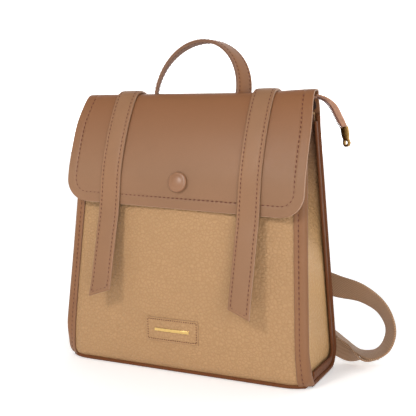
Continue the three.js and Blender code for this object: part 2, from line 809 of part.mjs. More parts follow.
add('front_panel', frontPanel(), TAN);
add('back_panel', backPanel(), TAN);
add('base_panel', basePanel(), DARK_BROWN);
add('base_board', baseBoard(), BOARD_GREY);
add('back_board', backBoard(), BOARD_GREY);
add('lining', lining(), LINING_CLOTH);
add('slip_pocket', slipPocket(), LINING_CLOTH);
add('label_patch', labelSheet(LABEL.width, LABEL.height, -GAP - 0.9, -GAP), TAN);
add('label_bar', labelSheet(36, 3, -GAP - 1.6, -GAP - 1.2), GOLD);
add('snap_socket', snapSocket(), GOLD, placeSnap);
add('snap_stud', snapStud(), GOLD, placeSnap);
add('button_cap', buttonCap(), BROWN, placeButton);
add('flap_outer', flapLayer(0, FLAP_LEATHER, 0), BROWN);
add('flap_lining', flapLayer(FLAP_LEATHER + GAP, FLAP_THICKNESS, 1), LINING_CLOTH);
add('flap_yoke', flapYoke(), BROWN);
add('handle_outer', handleLayer(-GAP / 2 - HANDLE_LAYER, -GAP / 2), BROWN);
add('handle_inner', handleLayer(GAP / 2, GAP / 2 + HANDLE_LAYER), DARK_BROWN);
add('zip_facing', zipFacing(), LINING_CLOTH);
add('zip_slider', zipSlider(), GOLD);
add('zip_puller', zipPuller(), GOLD);
add('zip_tail_tape', tailStrip(8, 0, 0.9), TAPE_CLOTH);
add('zip_tail_coil', tailStrip(2.6, -1.5, -GAP), TAPE_CLOTH);
add('zip_tail_clip', tailClip(), GOLD, placeClip);
add('anchor_patch', anchorPatch(), BROWN);

for (const [side, word] of [[-1, 'left'], [1, 'right']]) {
  add(`gusset_${word}`, gusset(side), TAN);
  add(`front_trim_${word}`, frontTrim(side), BROWN);
  add(`rear_binding_${word}`, rearBinding(side), DARK_BROWN);
  add(`gusset_welt_${word}`, gussetWelt(side), DARK_BROWN);
  add(`strap_${word}_rear`, strapOnYoke(side), BROWN);
  add(`strap_${word}_front`, strapOnFlap(side, 7, 96), BROWN);
  add(`strap_${word}_tail`, strapTail(side), BROWN);
  add(`webbing_${word}`, webbing(side), WEBBING_CLOTH);
  add(`lower_tab_${word}`, lowerTab(side), BROWN);
  add(`adjuster_${word}`, adjuster(), GOLD, placeAdjuster(side));
}

for (const [side, word] of [[-1, 'front'], [1, 'back']]) {
  add(`zip_coil_${word}`, zipCoil(side), TAPE_CLOTH);
  add(`zip_tape_${word}`, zipTape(side), TAPE_CLOTH);
}

export default bag;
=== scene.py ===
"""A small leather flap backpack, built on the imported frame: leather, stitching, zip and webbing.

Helper functions work in millimetres, and meshes are written in metres.
"""

import math

import bmesh
import bpy
import numpy as np
from mathutils import Matrix, Vector


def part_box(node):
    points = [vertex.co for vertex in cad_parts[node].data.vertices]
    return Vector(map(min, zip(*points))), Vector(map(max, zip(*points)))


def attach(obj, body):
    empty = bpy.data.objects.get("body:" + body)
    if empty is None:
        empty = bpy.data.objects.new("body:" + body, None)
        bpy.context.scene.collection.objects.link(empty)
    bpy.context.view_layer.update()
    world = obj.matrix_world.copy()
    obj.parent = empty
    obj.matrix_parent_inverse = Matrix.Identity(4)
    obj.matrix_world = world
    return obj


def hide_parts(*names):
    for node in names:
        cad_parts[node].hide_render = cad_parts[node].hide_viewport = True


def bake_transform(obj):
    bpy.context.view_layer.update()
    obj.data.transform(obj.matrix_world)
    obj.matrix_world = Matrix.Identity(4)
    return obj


MM = 0.001
SIDES = ((-1, "left"), (1, "right"))

# Overall shape, as in the CAD part.
BASE_WIDTH = 260
BASE_DEPTH = 95
SIDE_LEAN = 0.055
FRONT_LEAN = 0.097
BACK_LEAN = 0.117
FRONT_TOP = 226
BACK_TOP = 246.5
FRONT_BULGE = 12
FRONT_RADIUS = 14
BACK_RADIUS = 22
SIDE_RADIUS = 5
CORNER_TURN = 11.5
CORNER_REACH = 25
CORNER_TOP = 40
GUSSET_RECESS = 2
SKIN = 1.6
PANEL = 1.8
TRIM_WIDTH = 12
TRIM_CORNER = 2.6
TRIM_SEAM = 0.38
FOLD_START = 95
FOLD_END = 246
FOLD_DEPTH = 34
BINDING_RADIUS = 2.2
WELT_INSET = 9.4
WELT_WIDTH = 9.4

FLAP_LEATHER = 1.5
FLAP_HALF_TOP = 119.4
FLAP_HALF_LOW = 122.8
FLAP_LENGTH = 119
FLAP_SKEW = 0.03
FLAP_CORNER = 22
FLAP_SEAM = 9.8
CROWN_RISE = 2.6
STRAP_X = 72
STRAP_WIDTH = 21.6
STRAP_THICKNESS = 3
STRAP_SLANT = 8
STRAP_SEAM = 2.9
HANDLE_HALF_SPAN = 46.6
HANDLE_FOOT = np.array([-1.6, 5, 264])
HANDLE_APEX = np.array([1.5, 13, 314.4])
HANDLE_WIDTH = 18
HANDLE_SEAM = 2.5
HANDLE_TWIST = math.radians(25)
LABEL_PLACE = (-4, 42)
LABEL_SIZE = (55, 23)
LABEL_SEAM = 1.9
ZIP_Z = 246
WEBBING_WIDTH = 25
WEBBING_THICKNESS = 1.6
COIL_PITCH = 1.5
COIL_WIRE = 0.42
COIL_SIDES = 8
WIRE_SIDES = 5
THREAD_SIDES = 6
SHARP = math.radians(60)

CAMERA_LENS = 68.5
CAMERA_PLACE = (0.3367, -0.6919, 0.2413)
CAMERA_RIGHT = (0.9045, 0.4265, 0)
CAMERA_BACK = (0.4237, -0.8986, 0.1136)
FLOOR_HALF = 12000
FLOOR_Z = -0.4
WALL_Y = 4000
WALL_TOP = 7000

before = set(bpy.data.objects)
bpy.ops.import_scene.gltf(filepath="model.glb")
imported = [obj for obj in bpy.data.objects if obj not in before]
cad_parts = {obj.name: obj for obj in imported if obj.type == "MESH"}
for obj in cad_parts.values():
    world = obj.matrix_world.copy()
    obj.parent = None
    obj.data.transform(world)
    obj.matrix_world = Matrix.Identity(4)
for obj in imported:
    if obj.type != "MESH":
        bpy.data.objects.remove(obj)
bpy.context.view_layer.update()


# ---------- curves and numbers ----------
def mix(a, b, t):
    return a + (b - a) * t


def smooth(x, low, high):
    t = min(max((x - low) / (high - low), 0.0), 1.0)
    return t * t * (3 - 2 * t)


class Route:
    """A smooth curve through points, measured by the distance along it."""

    def __init__(self, points):
        points = np.array(points, float)
        before = 2 * points[0] - points[1]
        after = 2 * points[-1] - points[-2]
        knots = np.vstack([before, points, after])
        line = []
        for p0, p1, p2, p3 in zip(knots, knots[1:], knots[2:], knots[3:]):
            d0, d1, d2 = (math.sqrt(np.linalg.norm(b - a)) for a, b in ((p0, p1), (p1, p2), (p2, p3)))
            leave = ((p1 - p0) / d0 - (p2 - p0) / (d0 + d1) + (p2 - p1) / d1) * d1
            arrive = ((p2 - p1) / d1 - (p3 - p1) / (d1 + d2) + (p3 - p2) / d2) * d1
            for t in np.linspace(0, 1, 24, endpoint=False):
                line.append(
                    p1 * (2 * t**3 - 3 * t**2 + 1)
                    + leave * (t**3 - 2 * t**2 + t)
                    + p2 * (3 * t**2 - 2 * t**3)
                    + arrive * (t**3 - t**2)
                )
        line.append(points[-1])
        self.line = np.array(line)
        steps = np.linalg.norm(np.diff(self.line, axis=0), axis=1)
        self.travelled = np.concatenate([[0], np.cumsum(steps)])
        self.length = self.travelled[-1]

    def at(self, distance):
        return np.array([np.interp(distance, self.travelled, self.line[:, i]) for i in range(3)])

    def centre(self, t):
        """The point at a share t of the whole length."""
        return self.at(t * self.length)

    def tangent(self, distance):
        step = self.at(min(distance + 0.5, self.length)) - self.at(max(distance - 0.5, 0))
        return step / np.linalg.norm(step)

    def nearest(self, point):
        gaps = np.linalg.norm(self.line - np.array(point, float), axis=1)
        return self.travelled[int(np.argmin(gaps))]


def vec(*values):
    return np.array(values)


def unit(vector):
    return vector / np.linalg.norm(vector)


def shares(count):
    """Evenly spaced values from 0 to 1."""
    return np.linspace(0, 1, count)


def spans(count):
    """Evenly spaced values from -1 to 1."""
    return np.linspace(-1, 1, count)


def turns(count):
    """Evenly spaced angles once round a circle."""
    return [2 * math.pi * k / count for k in range(count)]


def ridge(distance, width):
    """1 at distance 0, falling away smoothly over the width."""
    return math.exp(-((distance / width) ** 2))


def heading(centre, t):
    """The direction in which centre(t) moves as t grows."""
    return unit(centre(min(t + 1e-3, 1)) - centre(max(t - 1e-3, 0)))


def squared(side, along):
    """The side direction made square to the along direction."""
    return unit(side - along * np.dot(side, along))


def spread(low, high, count, focus=(), reach=2.0, extra=6):
    """Evenly spaced values with extra ones close round each focus."""
    values = list(np.linspace(low, high, count))
    for centre in focus:
        values += list(np.linspace(centre - reach, centre + reach, extra))
    values = sorted(v for v in values if low <= v <= high)
    kept = [values[0]]
    for value in values[1:]:
        if value - kept[-1] > (high - low) / count * 0.2:
            kept.append(value)
    kept[-1] = high
    return kept


# ---------- meshes ----------
def mesh_object(name, points, faces, materials, face_slots=None, strip=None):
    mesh = bpy.data.meshes.new(name)
    mesh.from_pydata([tuple(p * MM) for p in points], [], faces)
    for material in materials:
        mesh.materials.append(material)
    if face_slots is not None:
        mesh.polygons.foreach_set("material_index", face_slots)
    if strip is not None:
        attribute = mesh.attributes.new("strip", "FLOAT_VECTOR", "POINT")
        flat = [value * MM for a, b in strip for value in (a, b, 0)]
        attribute.data.foreach_set("vector", flat)
    edit = bmesh.new()
    edit.from_mesh(mesh)
    bmesh.ops.recalc_face_normals(edit, faces=edit.faces)
    edit.to_mesh(mesh)
    edit.free()
    mesh.shade_smooth()
    piece = bpy.data.objects.new(name, mesh)
    bpy.context.scene.collection.objects.link(piece)
    return piece


def apply_modifiers(piece):
    graph = bpy.context.evaluated_depsgraph_get()
    finished = bpy.data.meshes.new_from_object(piece.evaluated_get(graph))
    piece.modifiers.clear()
    piece.data = finished
    return piece


def round_edges(piece, width, edge_slot=-1, angle=45):
    """Rounds the sharp edges, with the new faces in the given material slot."""
    bevel = piece.modifiers.new("round", "BEVEL")
    bevel.width = width * MM
    bevel.segments = 2
    bevel.limit_method = "ANGLE"
    bevel.angle_limit = math.radians(angle)
    bevel.material = edge_slot
    apply_modifiers(piece)
    piece.data.shade_smooth()
    piece.data.set_sharp_from_angle(angle=SHARP)
    return piece


def tube_faces(rings, count, first=0, capped=True):
    """Faces along a stack of rings of count points, with both ends closed where it is capped."""
    faces = []
    for r in range(rings - 1):
        for k in range(count):
            a, b = first + r * count + k, first + r * count + (k + 1) % count
            faces.append((a, b, b + count, a + count))
    if capped:
        for start in (first, first + (rings - 1) * count):
            faces.append(tuple(range(start, start + count)))
    return faces


def sheet(name, surface, us, vs, low, high, materials, bevel=0.4, relief=None):
    """A closed sheet that fills the offsets from low to high along +u crossed with +v.

    relief(u, v, point) lifts the low face away from the high one. A second material goes on the rim.
    """
    grid = np.array([[surface(u, v) for u in us] for v in vs])
    rows, columns = grid.shape[:2]
    normals = np.cross(np.gradient(grid, axis=1), np.gradient(grid, axis=0))
    normals /= np.linalg.norm(normals, axis=2, keepdims=True)
    lift = np.zeros((rows, columns))
    if relief:
        lift = np.array([[relief(u, v, place) for u, place in zip(us, row)] for v, row in zip(vs, grid)])
    outward = -1 if low < high else 1
    near = grid + normals * (low + outward * lift)[:, :, None]
    far = grid + normals * high
    points = np.concatenate([near.reshape(-1, 3), far.reshape(-1, 3)])
    total = rows * columns
    faces = []
    for j in range(rows - 1):
        for i in range(columns - 1):
            a, b = j * columns + i, j * columns + i + 1
            faces.append((a, b, b + columns, a + columns))
            faces.append((a + total, a + columns + total, b + columns + total, b + total))
    slots = [0] * len(faces)
    index = np.arange(total).reshape(rows, columns)
    rim = [index[0], index[1:, -1], index[-1, -2::-1], index[-2:0:-1, 0]]
    ring = np.concatenate(rim).tolist()
    for a, b in zip(ring, ring[1:] + ring[:1]):
        faces.append((a, a + total, b + total, b))
        slots.append(min(1, len(materials) - 1))
    widths = np.linalg.norm(grid[:, -1] - grid[:, 0], axis=1)
    middle_steps = np.linalg.norm(np.diff(grid[:, columns // 2], axis=0), axis=1)
    lengths = np.concatenate([[0], np.cumsum(middle_steps)])
    strip = [(u * widths[j], lengths[j]) for j in range(rows) for u in us] * 2
    piece = mesh_object(name, points, faces, materials, slots, strip)
    return round_edges(piece, bevel, len(materials) - 1)


def strip_section(width, thickness, crown=0.0, seam=None):
    """Points (across, height) once round a flat strip with rounded edges."""
    radius = thickness / 2
    half = width / 2 - radius * 0.7
    thread = width / 2 - seam if seam else 0
    section = []
    for x in spread(-half, half, 11, (-thread, thread) if seam else (), 1.4, 5):
        dip = 0.3 * ridge(abs(x) - thread, 0.8) if seam else 0
        section.append((x, radius + crown * (1 - (x / half) ** 2) - dip))
    edge = []
    for angle in (50, 0, -50):
        turn = math.radians(angle)
        edge.append((half + radius * 0.7 * math.cos(turn), radius * math.sin(turn)))
    section += edge
    section += [(x, -radius) for x in np.linspace(half, -half, 5)]
    return section + [(-x, height) for x, height in edge[::-1]]


def ribbon(name, centre, across, section, steps, materials, face=1, tip=None, end_round=0.0):
    """A flat strip swept along centre(t), its width along across(t) and its good face on the face side.

    section(t) gives its outline, and tip(t, x) shifts a point along the strip.
    """
    points, strip = [], []
    travelled = 0.0
    last = centre(0)
    ts = list(shares(steps + 1))
    if end_round:
        ts = ts[:-1] + [mix(ts[-2], 1, k) for k in (0.5, 0.8, 0.93, 1)]
    for t in ts:
        middle = centre(t)
        along = heading(centre, t)
        side = squared(across(t), along)
        normal = np.cross(side, along) * face
        travelled += np.linalg.norm(middle - last)
        last = middle
        shrink = 1
        if t > 1 - end_round:
            shrink = math.sqrt(max(1 - ((t - 1 + end_round) / end_round) ** 2, 0.04))
        for x, height in section(t):
            shift = tip(t, x) if tip else 0
            points.append(middle + side * x + normal * height * shrink + along * shift)
            strip.append((x, travelled + shift))
    outline = section(0)
    count = len(outline)
    widest = max(x for x, _ in outline)
    at_edge = [abs(x) > widest * 0.999 - 1.0 for x, _ in outline]
    paint = len(materials) - 1
    slots = [paint if at_edge[k] and at_edge[(k + 1) % count] else 0 for k in range(count)]
    slots = slots * (len(ts) - 1) + [paint, paint]
    piece = mesh_object(name, points, tube_faces(len(ts), count), materials, slots, strip)
    piece.data.set_sharp_from_angle(angle=SHARP)
    return piece


def cord(name, centre, radius, steps, sides, material):
    """A round cord along centre(t)."""
    points = []
    for t in shares(steps + 1):
        along = heading(centre, t)
        second = unit(np.cross(along, (1, 0, 0.001)))
        first = np.cross(second, along)
        for angle in turns(sides):
            points.append(centre(t) + radius * (first * math.cos(angle) + second * math.sin(angle)))
    return mesh_object(name, points, tube_faces(steps + 1, sides), [material])


def trace(surface, path, outward):
    """Points and outward normals where a path of (u, v) runs over a surface."""
    points, normals = [], []
    for u, v in path:
        across = surface(u + 1e-3, v) - surface(u - 1e-3, v)
        along = surface(u, v + 1e-3) - surface(u, v - 1e-3)
        points.append(surface(u, v))
        normals.append(unit(np.cross(across, along)) * outward)
    return np.array(points), np.array(normals)


def border_seams(surface, us, vs, count, outward, lift):
    """Four seams round a patch, between the two values of u and of v, lifted off its surface."""
    corners = [(us[0], vs[0]), (us[1], vs[0]), (us[1], vs[1]), (us[0], vs[1]), (us[0], vs[0])]
    seams = []
    for (u0, v0), (u1, v1) in zip(corners, corners[1:]):
        path = [(mix(u0, u1, t), mix(v0, v1, t)) for t in shares(count)]
        line, normals = trace(surface, path, outward)
        seams.append((line + normals * lift, normals))
    return seams


def along_line(distance, travelled, values):
    return np.array([np.interp(distance, travelled, values[:, i]) for i in range(3)])


def sew(name, seams, motion="bag", slot="brown_leather", pitch=4.5, length=2.7, radius=0.5):
    """Thread along each seam (points, normals): short stitches whose ends sink into the leather."""
    points, faces = [], []
    for line, normals in seams:
        travelled = np.concatenate([[0], np.cumsum(np.linalg.norm(np.diff(line, axis=0), axis=1))])
        count = max(int(travelled[-1] / pitch), 1)
        for n in range(count):
            distance = (n + 0.5) * travelled[-1] / count
            place = along_line(distance, travelled, line)
            normal = unit(along_line(distance, travelled, normals))
            along = squared(along_line(distance + 0.6, travelled, line) - place, normal)
            along = unit(along + 0.12 * np.cross(normal, along))
            side = np.cross(normal, along)
            start = len(points)
            stations = (-1, -0.72, 0, 0.72, 1)
            for f in stations:
                sunk = 0.5 * f**4
                centre = place + along * (f * length / 2) + normal * (0.12 - sunk)
                for angle in turns(THREAD_SIDES):
                    spoke = side * math.cos(angle) + normal * math.sin(angle)
                    points.append(centre + radius * (1 - sunk) * spoke)
            faces += tube_faces(len(stations), THREAD_SIDES, start)
    finish_piece(mesh_object(name, points, faces, [THREAD]), motion, slot)


def softened(node, material, bevel):
    """A copy of a CAD metal part with rounded edges."""
    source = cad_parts[node]
    mesh = source.data.copy()
    mesh.materials.clear()
    mesh.materials.append(material)
    piece = bpy.data.objects.new(node + "_detail", mesh)
    bpy.context.scene.collection.objects.link(piece)
    edit = bmesh.new()
    edit.from_mesh(mesh)
    bmesh.ops.remove_doubles(edit, verts=edit.verts, dist=1e-6)
    bmesh.ops.dissolve_limit(edit, angle_limit=math.radians(3), verts=edit.verts, edges=edit.edges)
    edit.to_mesh(mesh)
    edit.free()
    return round_edges(piece, bevel, angle=35)


def follow(piece, motion):
    """Rides on one body where motion is a name; where it is (a, b, start, end), the transform is only
    baked into the mesh.
    """
    if isinstance(motion, str):
        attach(piece, motion)
    else:
        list(motion)
        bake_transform(piece)
    return piece


def finish_piece(piece, motion, slot, *nodes):
    follow(piece, motion)
    if nodes:
        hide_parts(*nodes)
    return piece


OVER_CROWN = ("bag", "flap", (0, 0.004, 0.264), (0, -0.009, 0.262))


# ---------- materials ----------
def tinted(base, strength=1.0):
    """An sRGB colour from 0 to 255 as linear light, multiplied by a strength."""
    linear = []
    for value in base:
        share = value / 255
        light = share / 12.92 if share < 0.04045 else ((share + 0.055) / 1.055) ** 2.4
        linear.append(light * strength)
    return (*linear, 1.0)


class Shader:
    """A node material with short calls for adding and joining nodes."""

    def __init__(self, name, roughness, metallic=0.0, specular=0.5):
        self.material = bpy.data.materials.new(name)
        self.material.use_nodes = True
        self.tree = self.material.node_tree
        self.surface = self.tree.nodes["Principled BSDF"]
        self.surface.inputs["Roughness"].default_value = roughness
        self.surface.inputs["Metallic"].default_value = metallic
        self.surface.inputs["Specular IOR Level"].default_value = specular
        coordinates = self.tree.nodes.new("ShaderNodeTexCoord")
        self.place = coordinates.outputs["Object"]

    def join(self, value, socket):
        if isinstance(value, bpy.types.NodeSocket):
            self.tree.links.new(value, socket)
        else:
            socket.default_value = value

    def node(self, kind, inputs, output, **settings):
        made = self.tree.nodes.new(kind)
        for key, value in settings.items():
            setattr(made, key, value)
        for key, value in inputs.items():
            self.join(value, made.inputs[key])
        return made.outputs[output]

    def noise(self, scale, detail=3.0, output="Fac"):
        inputs = {"Vector": self.place, "Scale": scale, "Detail": detail}
        return self.node("ShaderNodeTexNoise", inputs, output)

    def cells(self, scale, feature, place=None):
        inputs = {"Vector": place or self.place, "Scale": scale}
        return self.node("ShaderNodeTexVoronoi", inputs, "Distance", feature=feature)

    def ramp(self, value, low, high, to_low=0.0, to_high=1.0):
        inputs = {"Value": value, "From Min": low, "From Max": high, "To Min": to_low, "To Max": to_high}
        return self.node("ShaderNodeMapRange", inputs, "Result")

    def math(self, operation, a, b=0.0):
        return self.node("ShaderNodeMath", {0: a, 1: b}, 0, operation=operation)

    def blend_colours(self, factor, a, b):
        return self.node("ShaderNodeMix", {0: factor, 6: a, 7: b}, 2, data_type="RGBA")

    def height(self, low, high):
        """From 0 at the low height to 1 at the high one, in metres."""
        return self.ramp(self.node("ShaderNodeSeparateXYZ", {"Vector": self.place}, "Z"), low, high)

    def waves(self, frequency_across, frequency_along):
        """A sine over the piece's own strip coordinates, in turns per metre."""
        strip = self.node("ShaderNodeAttribute", {}, "Vector", attribute_name="strip")
        turn = 2 * math.pi
        rate = (frequency_across * turn, frequency_along * turn, 0)
        phase = self.node("ShaderNodeVectorMath", {0: strip, 1: rate}, "Value", operation="DOT_PRODUCT")
        return self.math("SINE", phase)

    def paint(self, socket, value):
        self.join(value, self.surface.inputs[socket])

    def bump(self, *layers):
        """Stacks (height, strength, distance in mm) on the surface."""
        normal = None
        for height, strength, distance in layers:
            inputs = {"Height": height, "Strength": strength, "Distance": distance * MM}
            if normal is not None:
                inputs["Normal"] = normal
            normal = self.node("ShaderNodeBump", inputs, "Normal")
        self.tree.links.new(normal, self.surface.inputs["Normal"])


def pebbled_leather(name, base, crease, fold_shade=None):
    """Grained leather: rounded pebbles about 3 mm across, with painted shade darkening the creases
    between them.

    Painted shade: the fold_shade colour takes over up the bag, for the shadow in the deep fold where the
    leather is creased together.
    """
    shader = Shader(name, 0.5, specular=0.2)
    drift = shader.noise(260.0, 2.0, output="Color")
    terms = {0: drift, 1: (0.0016, 0.0016, 0.0016), 2: shader.place}
    place = shader.node("ShaderNodeVectorMath", terms, 0, operation="MULTIPLY_ADD")
    pebble = shader.cells(300.0, "F1", place)
    crevice = shader.cells(300.0, "DISTANCE_TO_EDGE", place)
    fine = shader.cells(1300.0, "F1", place)
    dome = shader.ramp(pebble, 0.0, 0.8, 1.0, 0.0)
    open_crease = shader.ramp(crevice, 0.0, 0.2)
    cloud = shader.ramp(shader.noise(22.0), 0.3, 0.7)
    body = shader.blend_colours(cloud, tinted(base, 0.95), tinted(base, 1.04))
    # The darker crease colour in the grain's crevices is painted shade.
    grained = shader.blend_colours(open_crease, tinted(crease), body)
    # Painted shade: from 115 mm to 232 mm up the colour blends towards fold_shade, standing in for the
    # shadow deep in the gusset's fold under the flap.
    if fold_shade:
        grained = shader.blend_colours(shader.height(0.115, 0.232), grained, tinted(fold_shade))
    shader.paint("Base Color", grained)
    shader.paint("Roughness", shader.ramp(shader.noise(700.0), 0.2, 0.8, 0.42, 0.6))
    shader.bump((open_crease, 0.4, 0.4), (dome, 0.7, 0.8), (fine, 0.12, 0.08))
    return shader.material


def smooth_leather(name, base, roughness=0.45, specular=0.22, grain=0.16, crown=None):
    """Fine-grained leather with a soft sheen and slight clouding, and a darker crown colour painted near
    the top as shade.
    """
    shader = Shader(name, roughness, specular=specular)
    cloud = shader.ramp(shader.noise(16.0, 4.0), 0.3, 0.7)
    speck = shader.ramp(shader.noise(900.0, 2.0), 0.3, 0.7)
    broad = shader.blend_colours(cloud, tinted(base, 0.94), tinted(base, 1.05))
    # Painted shade: above 190 mm the colour blends towards the darker crown colour.
    if crown:
        broad = shader.blend_colours(shader.height(0.19, 0.262), broad, tinted(crown))
    shade = shader.ramp(speck, 0.0, 1.0, 0.0, 0.12)
    shader.paint("Base Color", shader.blend_colours(shade, broad, tinted(base, 0.6)))
    polish = shader.ramp(shader.noise(240.0), 0.25, 0.75, roughness - 0.05, roughness + 0.08)
    shader.paint("Roughness", polish)
    pores = shader.cells(1300.0, "F1")
    shader.bump((pores, grain, 0.1), (shader.noise(60.0, 2.0), 0.12, 0.4))
    return shader.material


def edge_paint(name, base):
    """The painted cut edge of leather: slightly waxy and uneven."""
    shader = Shader(name, 0.45)
    blotch = shader.ramp(shader.noise(500.0), 0.3, 0.7)
    shader.paint("Base Color", shader.blend_colours(blotch, tinted(base, 0.9), tinted(base)))
    shader.bump((shader.noise(900.0), 0.15, 0.1))
    return shader.material


def thread(name, base):
    shader = Shader(name, 0.55, specular=0.3)
    twist = shader.noise(2600.0, 1.0)
    shader.paint("Base Color", shader.blend_colours(twist, tinted(base, 0.6), tinted(base)))
    shader.bump((twist, 0.4, 0.1))
    return shader.material


def woven(name, dark, light, warp, weft, roughness=0.85):
    """Cloth with two crossing sets of threads, in threads per metre."""
    shader = Shader(name, roughness, specular=0.2)
    first = shader.waves(warp, 0.0)
    second = shader.waves(0.0, weft)
    weave = shader.ramp(shader.math("MULTIPLY", first, second), -1.0, 1.0)
    mottle = shader.math("MULTIPLY", weave, shader.ramp(shader.noise(300.0), 0.2, 0.8, 0.6, 1.0))
    shader.paint("Base Color", shader.blend_colours(mottle, tinted(dark), tinted(light)))
    shader.paint("Sheen Weight", 0.15)
    shader.bump((weave, 0.5, 0.2))
    return shader.material


def ribbed_webbing(name, dark, light):
    """Nylon webbing: slanting ribs, a lighter sheen along each, and tight selvedges."""
    shader = Shader(name, 0.65, specular=0.15)
    rib = shader.ramp(shader.waves(420.0, 520.0), -1.0, 1.0)
    pick = shader.ramp(shader.waves(-900.0, 1100.0), -1.0, 1.0)
    body = shader.math("ADD", shader.math("MULTIPLY", rib, 0.7), shader.math("MULTIPLY", pick, 0.3))
    shader.paint("Base Color", shader.blend_colours(body, tinted(dark), tinted(light)))
    shader.paint("Sheen Weight", 0.05)
    shader.bump((rib, 0.55, 0.35), (pick, 0.3, 0.12))
    return shader.material


def gold(name, base, roughness=0.24):
    shader = Shader(name, roughness, metallic=1.0)
    wear = shader.ramp(shader.noise(350.0), 0.3, 0.7)
    shader.paint("Base Color", shader.blend_colours(wear, tinted(base, 0.88), tinted(base)))
    shader.paint("Roughness", shader.ramp(wear, 0.0, 1.0, roughness, roughness + 0.14))
    shader.bump((shader.noise(1500.0), 0.05, 0.05))
    return shader.material


TAN = pebbled_leather("tan_pebbled", (165, 129, 91), (156, 120, 83))
# The gussets' copy of the tan: a lighter base as painted light on the sides facing the lamps, and a dark
# brown towards the top as painted shade of the fold.
GUSSET_TAN_LIT_AND_SHADED = pebbled_leather("tan_gusset_lit_and_shaded", (186, 147, 101), (178, 139, 94), (88, 54, 34))
BROWN = smooth_leather("brown_smooth", (132, 94, 66))
STRAP_BROWN = smooth_leather("strap_smooth", (136, 99, 71))
TRIM_BROWN = smooth_leather("trim_smooth", (128, 88, 59))
DEEP_BROWN = smooth_leather("binding_smooth", (100, 58, 32), 0.55, 0.1)
# Painted shade: the zip ends lie in deep shadow under the ends of the flap, and this near-black, matt
# brown stands in for it on the dark leather.
DARK_BROWN = smooth_leather("zip_end_smooth", (44, 27, 18), 0.8, 0.03)
BUTTON_BROWN = smooth_leather("button_smooth", (136, 96, 68), 0.34, 0.4)
PALE_EDGE = edge_paint("edge_pale", (160, 124, 98))
BROWN_EDGE = edge_paint("edge_brown", (118, 80, 55))
TAN_EDGE = edge_paint("edge_tan", (140, 104, 72))
RAW_LEATHER = smooth_leather("handle_underside", (122, 92, 74), 0.7, 0.15, 0.4)
HANDLE_BROWN = smooth_leather("handle_smooth", (138, 95, 64))
# Its crown colour is painted shade: the flap turns a darker, richer brown towards its top, where the
# sheen of the lower flap is missing.
FLAP_BROWN = smooth_leather("flap_smooth", (132, 97, 71), crown=(128, 84, 54))
THREAD = thread("thread_brown", (104, 52, 36))
LINING = woven("lining_cloth", (130, 106, 80), (176, 150, 120), 1400.0, 1400.0)
WEBBING = ribbed_webbing("webbing_nylon", (108, 80, 58), (172, 138, 108))
TAPE = woven("zip_tape_weave", (150, 104, 80), (206, 160, 132), 1500.0, 1100.0)
COIL = smooth_leather("zip_coil_nylon", (112, 72, 58), 0.35, 0.5, 0.0)
GOLD = gold("gold_polished", (226, 190, 120))
# Painted shade: a darker copy of the gold for the zip tail's clip, standing in for the dark surroundings
# it reflects.
SHADED_GOLD = gold("gold_shaded", (176, 138, 80), 0.2)
BOARD = edge_paint("board_grey", (143, 138, 128))


# ---------- the shape of the bag ----------
def tuck(z, radius):
    """How far an edge of this radius has curved in at height z."""
    if z >= radius:
        return 0.0
    return radius - math.sqrt(max(radius**2 - (radius - z) ** 2, 0))


def half_width(z):
    return BASE_WIDTH / 2 - SIDE_LEAN * z - tuck(z, SIDE_RADIUS)


def front_line(z):
    return -BASE_DEPTH / 2 + FRONT_LEAN * z + tuck(z, FRONT_RADIUS)


def back_line(z):
    return BASE_DEPTH / 2 - BACK_LEAN * z - tuck(z, BACK_RADIUS)


def corner_turn(x, z):
    """How far back the rounding of a lower front corner has moved the front at x."""
    near = max((abs(x) - half_width(z)) / CORNER_REACH + 1, 0)
    return CORNER_TURN * (1 - smooth(z, 0, CORNER_TOP)) * near**2


def side_line(z):
    return front_line(z) + corner_turn(half_width(z), z)


def front_y(x, z):
    rise = math.sin(math.pi * min(z / FRONT_TOP, 1))
    across = 1 - (x / (half_width(z) - SKIN)) ** 2
    return front_line(z) + SKIN + corner_turn(x, z) - FRONT_BULGE * rise * max(across, 0)


def back_y(z):
    return back_line(z) - 2


def back_inset(z, inset):
    if z >= BACK_RADIUS:
        return BASE_DEPTH / 2 - BACK_LEAN * z - inset
    centre = BASE_DEPTH / 2 - BACK_LEAN * BACK_RADIUS - BACK_RADIUS
    return centre + math.sqrt(max((BACK_RADIUS - inset) ** 2 - (BACK_RADIUS - z) ** 2, 0))


def panel_z(v):
    return 3 + (FRONT_TOP - 3) * (1 - v) ** 1.35


def gusset_x(t, z):
    fold = FOLD_DEPTH * smooth(z, FOLD_START, FOLD_END) * (1 - abs(2 * t - 1) ** 1.4)
    return half_width(z) - SKIN - GUSSET_RECESS * smooth(t, 0, 0.1) - fold


def gusset_y(t, z):
    return mix(side_line(z) + SKIN + TRIM_CORNER + 0.3, back_inset(z, 2 * BINDING_RADIUS + 2.2), t)


# ---------- panels ----------
def front_panel():
    edge = SKIN + TRIM_CORNER

    def surface(u, v):
        z = panel_z(v)
        x = u * (half_width(z) - edge)
        return vec(x, front_y(x, z), z)

    def relief(u, v, place):
        """Soft waves in the filled front, and a dip beside each trim."""
        near_edge = smooth(abs(u), 0.86, 0.97)
        wave = 0.5 * math.sin(place[2] / 31 + place[0] / 60) * math.sin(place[0] / 44 + 1)
        return (wave * smooth(place[2], 5, 40) + 0.35 * smooth(abs(u), 0.8, 0.9)) * (1 - near_edge)

    piece = sheet("front_leather", surface, spans(72), shares(64), 0, PANEL, [TAN], 0.4, relief)
    finish_piece(piece, "bag", "tan_leather", "front_panel")


